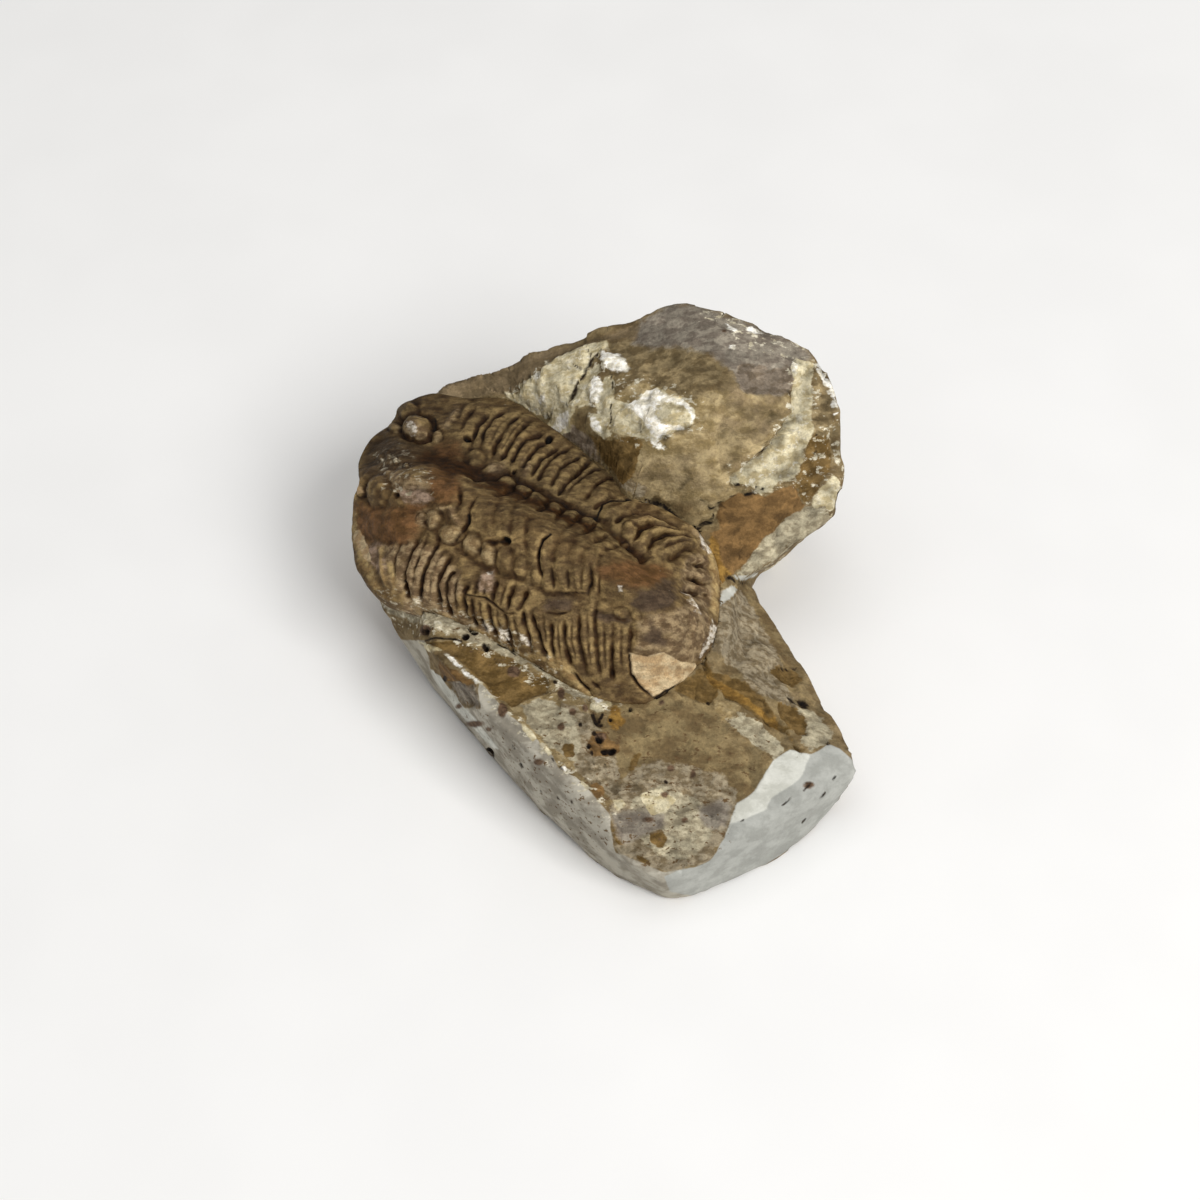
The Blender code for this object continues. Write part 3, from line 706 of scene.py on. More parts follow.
def make_piece(name, points, faces, values, material):
    """A mesh object in metres, with its faces, its float values on points and its material."""
    mesh = bpy.data.meshes.new(name)
    counts = np.concatenate([np.full(len(group), len(group[0])) for group in faces])
    corners = np.concatenate([np.ravel(group) for group in faces])
    mesh.vertices.add(len(points))
    mesh.vertices.foreach_set("co", np.ravel(points * MM))
    mesh.loops.add(len(corners))
    mesh.loops.foreach_set("vertex_index", corners.astype(np.int32))
    mesh.polygons.add(len(counts))
    mesh.polygons.foreach_set("loop_start", (np.cumsum(counts) - counts).astype(np.int32))
    mesh.update(calc_edges=True)
    mesh.shade_smooth()
    for key, numbers in values.items():
        layer = mesh.attributes.new(key, "FLOAT", "POINT")
        layer.data.foreach_set("value", numbers.astype(np.float32))
    mesh.materials.append(material)
    piece = bpy.data.objects.new(name, mesh)
    bpy.context.scene.collection.objects.link(piece)
    return piece


def linear(colour):
    """An sRGB hex colour as linear red, green, blue and full alpha."""
    parts = [int(colour[i:i + 2], 16) / 255 for i in (1, 3, 5)]
    return (*[c / 12.92 if c <= 0.04045 else ((c + 0.055) / 1.055) ** 2.4 for c in parts], 1.0)


def add_node(tree, kind, links=None, values=None, **settings):
    """A node with its settings, the values of its own sockets and the sockets that feed it."""
    made = tree.nodes.new(kind)
    for key, value in settings.items():
        setattr(made, key, value)
    for key, value in (values or {}).items():
        made.inputs[key].default_value = value
    for key, source in (links or {}).items():
        tree.links.new(source, made.inputs[key])
    return made


# The sockets of a Mix node that mixes colours: its factor, its two colours and its result
FACTOR, FIRST_COLOUR, SECOND_COLOUR, MIXED_COLOUR = 0, 6, 7, 2


def mottled(tree, place, dark, light, size, detail, low, high):
    """Two tones mixed by noise whose grains have a size in mm, spread between two of its levels."""
    grain = add_node(tree, "ShaderNodeTexNoise", {"Vector": place},
                     {"Scale": 1 / (size * MM), "Detail": detail, "Roughness": 0.6})
    spread = add_node(tree, "ShaderNodeMapRange", {"Value": grain.outputs["Fac"]},
                      {"From Min": low, "From Max": high}, interpolation_type="SMOOTHSTEP")
    tones = add_node(tree, "ShaderNodeMix", {FACTOR: spread.outputs["Result"]},
                     {FIRST_COLOUR: linear(dark), SECOND_COLOUR: linear(light)}, data_type="RGBA")
    return tones.outputs[MIXED_COLOUR]


# How far each pattern of a mineral lightens and darkens its colour, as a share of it, the levels of a
# pattern that give its darkest and lightest, and the size of the wide stains (mm)
GRAIN_TONE = 0.3
LUMP_TONE = 0.24
STAIN_TONE = 0.12
CHIP_TONE = 0.1
DARKEST, LIGHTEST = 0.25, 0.75
STAIN_SIZE = 6.5

# How far the edges of chips wander and how closely, in chip sizes; how far roughness varies; what is left of
# the bump on a ground face; and the dull gloss of weathered stone
CHIP_WANDER, CHIP_WAVES = 1.1, 1.2
ROUGHNESS_SPREAD = 0.1
GROUND_BUMP = 0.2
STONE_GLOSS = 0.15


def mineral(name, base, finishes, stretch, grain_size, lump_size, chip_size, depths, roughness):
    """A mineral surface: a mottled base, then each finish laid over it inside its own frayed outline.

    A finish is (attribute, dark colour, light colour, mottle size in mm, fray in pixels, fray size in mm,
    softness in pixels). The points' own "shade" is painted shade that darkens hollows and painted highlight
    that lightens crests. Small chips, each of its own tone, lie over it all: the cells of a Voronoi pattern
    whose edges wander. Where the points' "even" is 1 the surface is ground smooth, without chips or lumps.
    """
    material = bpy.data.materials.new(name)
    material.use_nodes = True
    tree = material.node_tree
    shader = tree.nodes["Principled BSDF"]
    place = add_node(tree, "ShaderNodeTexCoord").outputs["Object"]
    drawn_out = add_node(tree, "ShaderNodeMapping", {"Vector": place}, {"Scale": (stretch, 1.0, 1.0)})
    drawn_out = drawn_out.outputs["Vector"]
    dark, light, mottle = base
    colour = mottled(tree, drawn_out, dark, light, mottle, 6.0, 0.40, 0.60)
    for attribute, dark, light, mottle, fray, fray_size, softness in finishes:
        value = add_node(tree, "ShaderNodeAttribute", attribute_name=attribute).outputs["Fac"]
        edge = add_node(tree, "ShaderNodeTexNoise", {"Vector": drawn_out},
                        {"Scale": 1 / (fray_size * MM), "Detail": 5.0, "Roughness": 0.65})
        shifted = add_node(tree, "ShaderNodeMath", {0: edge.outputs["Fac"], 2: value},
                           {1: fray * 2}, operation="MULTIPLY_ADD")
        inside = add_node(tree, "ShaderNodeMapRange", {"Value": shifted.outputs["Value"]},
                          {"From Min": fray - softness, "From Max": fray + softness},
                          interpolation_type="SMOOTHSTEP")
        tone = mottled(tree, drawn_out, dark, light, mottle, 5.0, 0.40, 0.60)
        laid_over = add_node(tree, "ShaderNodeMix", {FACTOR: inside.outputs["Result"], FIRST_COLOUR: colour,
                                                     SECOND_COLOUR: tone}, data_type="RGBA")
        colour = laid_over.outputs[MIXED_COLOUR]
    grain = add_node(tree, "ShaderNodeTexNoise", {"Vector": place},
                     {"Scale": 1 / (grain_size * MM), "Detail": 4.0, "Roughness": 0.7}).outputs["Fac"]
    lumps = add_node(tree, "ShaderNodeTexNoise", {"Vector": drawn_out},
                     {"Scale": 1 / (lump_size * MM), "Detail": 5.0, "Roughness": 0.65}).outputs["Fac"]
    stains = add_node(tree, "ShaderNodeTexNoise", {"Vector": place},
                      {"Scale": 1 / (STAIN_SIZE * MM), "Detail": 3.0}).outputs["Fac"]
    wander = add_node(tree, "ShaderNodeTexNoise", {"Vector": drawn_out},
                      {"Scale": CHIP_WAVES / (chip_size * MM), "Detail": 3.0}).outputs["Color"]
    chip_place = add_node(tree, "ShaderNodeVectorMath", {0: wander, 2: drawn_out},
                          {1: (CHIP_WANDER * chip_size * MM,) * 3},
                          operation="MULTIPLY_ADD").outputs["Vector"]
    cells = add_node(tree, "ShaderNodeTexVoronoi", {"Vector": chip_place}, {"Scale": 1 / (chip_size * MM)})
    chips = add_node(tree, "ShaderNodeSeparateColor", {"Color": cells.outputs["Color"]}).outputs["Red"]
    shade = add_node(tree, "ShaderNodeAttribute", attribute_name="shade").outputs["Fac"]
    even = add_node(tree, "ShaderNodeAttribute", attribute_name="even").outputs["Fac"]
    light_share = shade
    patterns = ((grain, GRAIN_TONE), (lumps, LUMP_TONE), (stains, STAIN_TONE), (chips, CHIP_TONE))
    for source, spread in patterns:
        factor = add_node(tree, "ShaderNodeMapRange", {"Value": source},
                          {"From Min": DARKEST, "From Max": LIGHTEST, "To Min": 1 - spread,
                           "To Max": 1 + spread})
        light_share = add_node(tree, "ShaderNodeMath", {0: light_share, 1: factor.outputs["Result"]},
                               operation="MULTIPLY").outputs["Value"]
    light_share = add_node(tree, "ShaderNodeMix", {"Factor": even, "A": light_share, "B": shade})
    toned = add_node(tree, "ShaderNodeVectorMath", {0: colour, "Scale": light_share.outputs["Result"]},
                     operation="SCALE")
    tree.links.new(toned.outputs["Vector"], shader.inputs["Base Color"])
    shine = add_node(tree, "ShaderNodeMapRange", {"Value": grain},
                     {"To Min": roughness - ROUGHNESS_SPREAD, "To Max": roughness + ROUGHNESS_SPREAD})
    tree.links.new(shine.outputs["Result"], shader.inputs["Roughness"])
    grain_depth, lump_depth, chip_depth = depths
    fine = add_node(tree, "ShaderNodeMath", {0: grain}, {1: grain_depth}, operation="MULTIPLY")
    rise = add_node(tree, "ShaderNodeMath", {0: lumps, 2: fine.outputs["Value"]}, {1: lump_depth},
                    operation="MULTIPLY_ADD")
    rise = add_node(tree, "ShaderNodeMath", {0: chips, 2: rise.outputs["Value"]}, {1: chip_depth},
                    operation="MULTIPLY_ADD")
    strength = add_node(tree, "ShaderNodeMapRange", {"Value": even}, {"To Min": 1.0, "To Max": GROUND_BUMP})
    bump = add_node(tree, "ShaderNodeBump",
                    {"Height": rise.outputs["Value"], "Strength": strength.outputs["Result"]},
                    {"Distance": MM})
    tree.links.new(bump.outputs["Normal"], shader.inputs["Normal"])
    shader.inputs["Specular IOR Level"].default_value = STONE_GLOSS
    return material


# Dolomite that has taken up iron from the mud: matt brown, darkened in the furrows by painted shade and
# lightened on the rib crests by painted highlight. The finishes are what the eye sees on it: crests
# lightened as painted highlight, grey-green and reddish stains, pale broken shell.
SHELL_BASE = ("#44301a", "#665031", 1.4)
SHELL_FINISHES = [
    # Painted highlight: the crest finish lightens the rises of the relief
    ("crest", "#634f33", "#87714a", 0.9, 3.5, 1.2, 4.5),
    ("grey_green", "#42311c", "#5e4b32", 1.2, 6.0, 1.4, 6.0),
    ("reddish", "#5b4022", "#765433", 1.2, 7.0, 1.2, 6.0),
    ("pink", "#6d5842", "#97806c", 0.9, 6.0, 0.8, 3.0),
    ("pale", "#68533a", "#927d5d", 0.9, 7.0, 1.0, 4.0),
    ("bead", "#6d583b", "#97825e", 0.8, 4.0, 0.8, 3.0),
    ("dark_grey", "#423325", "#584735", 1.0, 7.0, 1.0, 4.0),
    ("orange_edge", "#866c45", "#ac9364", 1.2, 5.0, 1.0, 2.5),
    ("chip", "#a78b65", "#c6b08a", 1.4, 2.0, 1.0, 0.9),
    ("flecks", "#93866c", "#c2b79f", 0.5, 16.0, 0.75, 2.0),
    ("white", "#a2957f", "#ddd3c3", 0.5, 5.0, 0.5, 1.5),
    # Painted shade: the furrow finish darkens the hollows of the relief and the axial furrows
    ("furrow", "#2f1a04", "#4a2d0e", 0.8, 3.0, 1.0, 4.0),
    ("black", "#090502", "#1a110a", 0.8, 1.0, 0.5, 0.8),
]
FLECK_LEVEL = -2.5

# Painted shade lies in the two axial furrows: its share, its place across the rails and its half width
# there.
# It sets in behind the nose (stations) and ends at the tail (pixels). The far flank is darkened by painted
# shade from a place across the rails on, up to the tail, and so is the nose.
FURROW_SHADE_BANDS = [(0.5, 3.85, 0.4), (0.15, 2.0, 0.3)]
FURROW_SHADE_START = (-3, 0.5)
FURROW_SHADE_END = (585, 625)
FLANK_START = (3.3, 4.1)
FLANK_END = (600, 650)
NOSE_START = (-0.5, -2.0)
FURROW_SHADE_STRENGTH = 0.6
FLANK_SHADE = 0.24
NOSE_SHADE = 0.12

# Painted shade darkens hollows and painted highlight lightens crests, by how far (mm) a place lies below
# the mean of what is round it: wide hollows are measured over more rounds of smoothing than narrow creases
HOLLOW_ROUNDS = 30
CREASE_ROUNDS = 5
HOLLOW_SHADE = 0.9
CREASE_SHADE = 2.6
SHELL_SHADES = (0.4, 1.25)

# Finishes that follow the relief: the hollow (mm) at which each sets in, and how many pixels of depth inside
# an outline one millimetre more counts for. The crest finish is painted highlight on the rises, the furrow
# finish painted shade in the hollows and axial furrows, and the pale finish is kept off the hollows.
CREST_LEVEL, CREST_GAIN = -0.02, 30
CREST_NOISES = [(3.0, 4.0, 21)]
FURROW_LEVEL, FURROW_GAIN = 0.17, 24
FURROW_SHADE_LEVEL, FURROW_SHADE_GAIN = 0.25, 20
UNSHADED_CREST_GAIN = 35
PALE_LEVEL, PALE_GAIN = 0.08, 40

stations = np.linspace(FRONT_STATION, TAIL_STATION, FOSSIL_ROWS + 1)
across_places = np.linspace(0.0, len(RAILS) - 1.0, FOSSIL_COLUMNS + 1)
back = shell_back(stations, across_places)
station_grid, place_grid = np.meshgrid(stations, across_places, indexing="ij")
back_normals = grid_normals(back)

flat_back = back.reshape(-1, 3)
flat_normals = back_normals.reshape(-1, 3)
pixels = seen_at(flat_back)
facing = flat_normals @ towards_camera
traced = wandering(pixels, flat_back, seed=17)
sunk, raised = line_relief(SHELL_LINES, traced, 1 + layered_noise(flat_back, FURROW_NOISES))
relief = sunk + raised + knob_relief(SHELL_KNOBS, traced) + layered_noise(flat_back, SHELL_NOISES)
from_ends = np.minimum(station_grid - FRONT_STATION, TAIL_STATION - station_grid)
from_edge = np.minimum(np.minimum(place_grid, len(RAILS) - 1 - place_grid), ENDS_STEEPER * from_ends)
relief *= smooth_step(*EDGE_FADE, from_edge.ravel())
shell = flat_back + flat_normals * relief[:, None]

relief_grid = relief.reshape(station_grid.shape)
hollow = (smoothed(relief_grid, HOLLOW_ROUNDS) - relief_grid).ravel()
crease = (smoothed(relief_grid, CREASE_ROUNDS) - relief_grid).ravel()
# Painted shade along the axial furrows, deepest on the far side of the axis
furrow_shade = sum(share * np.exp(-((place_grid - place) / width) ** 2) for share, place, width in FURROW_SHADE_BANDS)
furrow_shade *= smooth_step(*FURROW_SHADE_START, station_grid)
furrow_shade = furrow_shade.ravel() * (1 - smooth_step(*FURROW_SHADE_END, pixels[:, 0]))
# Painted shade on the far flank of the shell and on the nose
far_flank_shade = smooth_step(*FLANK_START, place_grid).ravel() * (1 - smooth_step(*FLANK_END, pixels[:, 0]))
nose = smooth_step(*NOSE_START, station_grid).ravel()
# Painted shade in the hollows and painted highlight on the crests, times the painted shade of the axial
# furrows, far flank and nose
shell_shade = np.clip(1 - HOLLOW_SHADE * hollow - CREASE_SHADE * crease, *SHELL_SHADES)
shell_shade *= (1 - FURROW_SHADE_STRENGTH * furrow_shade) * (1 - FLANK_SHADE * far_flank_shade - NOSE_SHADE * nose)


def rim_numbers(rows, columns):
    """Numbers of a grid's outer points, once round."""
    number = np.arange(rows * columns).reshape(rows, columns)
    return np.concatenate([number[:-1, 0], number[-1, :-1], number[:0:-1, -1], number[0, :0:-1]])


rim = rim_numbers(FOSSIL_ROWS + 1, FOSSIL_COLUMNS + 1)
rim_points = shell[rim]
foot_centre = rim_points[:, :2].mean(axis=0)
inward = foot_centre - rim_points[:, :2]
inward /= np.linalg.norm(inward, axis=-1, keepdims=True)
foot_height = SEAT_HEIGHT + SEAT_SLOPE * rim_points[:, 1]
wall = []
for share in np.linspace(0, 1, WALL_RINGS + 1)[1:]:
    ring = rim_points.copy()
    ring[:, :2] += inward * (WALL_LEAN * share - WALL_BULGE * math.sin(math.pi * share))
    ring[:, 2] += (foot_height - rim_points[:, 2]) * share
    ring += (1 - share) * layered_noise(ring, WALL_NOISES)[:, None]
    wall.append(ring)
shell_points = np.concatenate([shell, *wall])

ring_starts = [rim] + [len(shell) + index * len(rim) + np.arange(len(rim)) for index in range(WALL_RINGS)]
wall_quads = []
for upper, lower in zip(ring_starts, ring_starts[1:]):
    wall_quads.append(np.stack([upper, lower, np.roll(lower, -1), np.roll(upper, -1)], axis=-1))
foot_ring = ring_starts[-1]
low_side = foot_ring[:FOSSIL_ROWS + 1]
turn = FOSSIL_ROWS + FOSSIL_COLUMNS
high_side = foot_ring[turn:turn + FOSSIL_ROWS + 1][::-1]
sole = np.stack([low_side[:-1], high_side[:-1], high_side[1:], low_side[1:]], axis=-1)
front_cap = np.concatenate([foot_ring[turn + FOSSIL_ROWS:], foot_ring[:1]])
tail_cap = foot_ring[FOSSIL_ROWS:turn + 1]

shell_values = {
    "shade": shell_shade,
    "even": np.zeros(len(flat_back)),
    "crest": CREST_GAIN * (CREST_LEVEL - hollow) + layered_noise(flat_back, CREST_NOISES),
    "furrow": np.maximum(FURROW_GAIN * (hollow - FURROW_LEVEL),
                         FURROW_SHADE_GAIN * (furrow_shade - FURROW_SHADE_LEVEL) + UNSHADED_CREST_GAIN * np.minimum(hollow, 0)),
    "black": line_mask(SHELL_DARK_LINES, traced, facing),
}
for finish, patches in SHELL_PATCHES.items():
    shell_values[finish] = patch_mask(patches, traced, facing)
shell_values["pale"] = np.minimum(shell_values["pale"], PALE_GAIN * (PALE_LEVEL - hollow))
shell_values["flecks"] = np.minimum(shell_values["flecks"], FLECK_LEVEL)
for key, numbers in shell_values.items():
    shell_values[key] = np.concatenate([numbers, np.tile(numbers[rim], WALL_RINGS)])

trilobite_finish = mineral("iron-stained dolomite mould", SHELL_BASE, SHELL_FINISHES, stretch=0.5,
                           grain_size=0.25, lump_size=0.9, chip_size=0.8, depths=(0.12, 0.26, 0.03),
                           roughness=0.62)
trilobite = make_piece(
    "trilobite_shell", shell_points,
    [grid_faces(FOSSIL_ROWS + 1, FOSSIL_COLUMNS + 1), *wall_quads, sole, [front_cap], [tail_cap]],
    shell_values, trilobite_finish,
)
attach(trilobite, "root")
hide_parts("trilobite")


# The matrix. One lump of fine-grained dolomite, broken from the bed round the fossil: a low slab in
# front with two faces ground flat, the ridge under the fossil, and a higher lump behind it.
# Each block is the convex body that hugs its corners (mm); the blocks are grown together.

SLAB_CORNERS = [
    (-22, 8, 14), (-20, 0, 17), (0, -13, 17), (12, -11, 16), (10, 4, 15), (20.2, 6.5, 9.5),
    (25.4, -6.4, 10),
    (-20.5, -8, 16), (-15.5, -15, 15.5), (-9.5, -21, 15), (-4.6, -24.6, 14), (0.8, -29.8, 12),
    (2.8, -32.8, 8.5), (7.5, -35, 6), (15, -31.5, 9), (8, -34.2, 3),
    (23.2, -20.4, 12), (31.1, -19.3, 10), (31.5, -20.7, 8), (30.1, -20, 3),
    (27.4, -21.5, 0), (25.5, -23.7, 0), (22.7, -26.8, 0), (19.2, -29.8, 0), (13.8, -32.5, 0),
    (8, -32.9, 0), (1.8, -29.6, 0), (-2.5, -24.5, 0), (-13.5, -12.3, 0), (-20, -3.5, 0),
    (24, -5, 0), (19.5, 5, 0), (-22, 6, 0),
    (-25.6, 1.2, 8.5), (-19.7, -6.8, 7), (-16, -12, 6), (-7.6, -23, 5), (-2, -28, 3), (3, -32, 3),
]
RIDGE_CORNERS = [
    (-28.8, 9, 15.5), (-29, 18, 16.5), (-27.5, 23.5, 17), (-24, 27.5, 18), (-20.5, 30.8, 22.5),
    (-17, 30.9, 23.5), (-11, 30.2, 25.8), (-9, 31.2, 26.9),
    (-20, -2, 17), (14, -6, 15), (14, 3, 17), (10, 6, 20), (19.6, 8.5, 9), (18, 4, 10),
    (-28, 3, 10), (-29, 6.3, 10), (-30.4, 10, 11), (-31, 15, 11), (-30.5, 20, 11), (-27.5, 26.5, 12),
    (-23.5, 31, 13), (-19, 34, 13), (-10, 35, 14),
    (-24, 7, 0), (-25, 20, 0), (-17, 30, 0), (-8, 32, 0), (18, 9, 0), (8, -8, 0), (-18, -3, 0),
]
LUMP_CORNERS = [
    (-8, 31.2, 27.6), (-5.8, 31.8, 28.5), (0, 31.6, 30.6), (3.7, 31.4, 32.3), (8, 32.2, 35.4),
    (11.4, 31.7, 36.3), (14.4, 30.7, 36.8), (21, 28, 35.8), (26.4, 26, 34.3), (28.8, 24.2, 32.2),
    (24, 23, 34.2), (12.5, 18, 35.2), (5, 21, 33), (0, 22, 30),
    (29.8, 22.4, 29.8), (30.6, 20.8, 27.6), (29.5, 18.5, 25.5), (31, 14.6, 20), (30.4, 13, 17),
    (26.2, 13, 19),
    (-10, 26, 26), (-5.5, 19, 24), (-1, 8, 22), (12.5, 8, 20), (14.5, 5.5, 17), (17.5, 4.7, 14),
    (27.9, 12.9, 14), (24, 11, 12), (20.4, 9, 10), (20.5, 13, 5),
    (10, 37.5, 24), (20, 35, 22), (0, 37, 20), (12, 38.5, 14), (-8, 36, 14), (25, 31, 12), (30, 25, 18),
    (25, 23, 0), (22, 20.5, 0), (19, 16.5, 0), (0, 12, 0), (21, 31, 0), (10, 35.5, 0), (-4, 33, 0),
]
FOOT_BURIED = 3.0
EDGE_ROUNDING = 1.0
JOIN_ROUNDING = 3.0
FOOT_ROUNDING = 0.8

STONE_COLUMNS = 520
STONE_RINGS = 168
STONE_AXIS = np.array([-5.0, 2.0])
SWEEP_RADIUS = 11.0
SWEEP_HEIGHT = 8.0
SWEEP_REACH = 60.0
FIRST_SAMPLES = 110
AXIS_SAMPLES = 2000
HALVINGS = 18
OUTSET = 0.2

# Rings lie closer or farther apart by a weight: under the fossil, which is deeper than a distance inside
# its outline and above a height, and on the foot, which is below another (mm)
UNDER_DEPTH, UNDER_HEIGHT, UNDER_WEIGHT = 1.5, 10, 0.12
FOOT_HEIGHT, FOOT_WEIGHT = 0.3, 0.25
LEAST_WAY = 0.002

# Near the fossil the stone rises or falls to the fossil's margin, and under it the stone lies lower (mm)
RIM_STEP = 4
MARGIN_REACH = 3.2
MARGIN_DROP = 0.25
SOLE_DROP = 0.3
SOLE_EDGE = (0.15, 0.8)
PULLED_SLOPE = (0.2, 0.5)
LOWEST_PULLED = 9.0
LOW_FADE = 2.0
FARTHEST_PULLED = (5.0, 3.0)

# Relief of the stone (mm). Scallops: height, size, seed and mean. Flakes: size, tilt, seed, lowest, highest
# and the share they keep on unchipped skin. Waves: height, size, seed and the share they keep on the
# ground faces, where everything else keeps a tenth.
STONE_SCALLOPS = (0.3, 9.0, 31, 0.22)
STONE_FLAKES = [(6.0, 0.35, 61, -0.35, 0.12, 1.0), (2.6, 0.4, 81, -0.25, 0.15, 0.35)]
STONE_WAVES = [(0.2, 9.0, 41, 0.4), (0.12, 2.4, 42, 0.0), (0.06, 1.2, 43, 0.0)]
GROUND_ROUGHNESS = 0.1
LINE_NOISES = [(0.3, 2.0, 47)]
STEP_NOISES = [(2.5, 1.1, 45)]
WHITE_NOISES = [(0.16, 0.9, 46)]
RIM_CALM, RIM_CALM_REACH = 0.7, 1.5
# Painted shade: hollows of the stone's relief darken, and rises lighten, by how far (mm) a place lies below
# the mean round it after so many rounds of smoothing, within these bounds
STONE_HOLLOW_ROUNDS = 8
STONE_HOLLOW_SHADE = 1.6
STONE_SHADES = (0.45, 1.2)

GROUND_FINISHES = ("ground_left", "ground_right", "ground_light")
GROUND_EVENNESS = 0.75
SPECK_LEVEL = -3.5

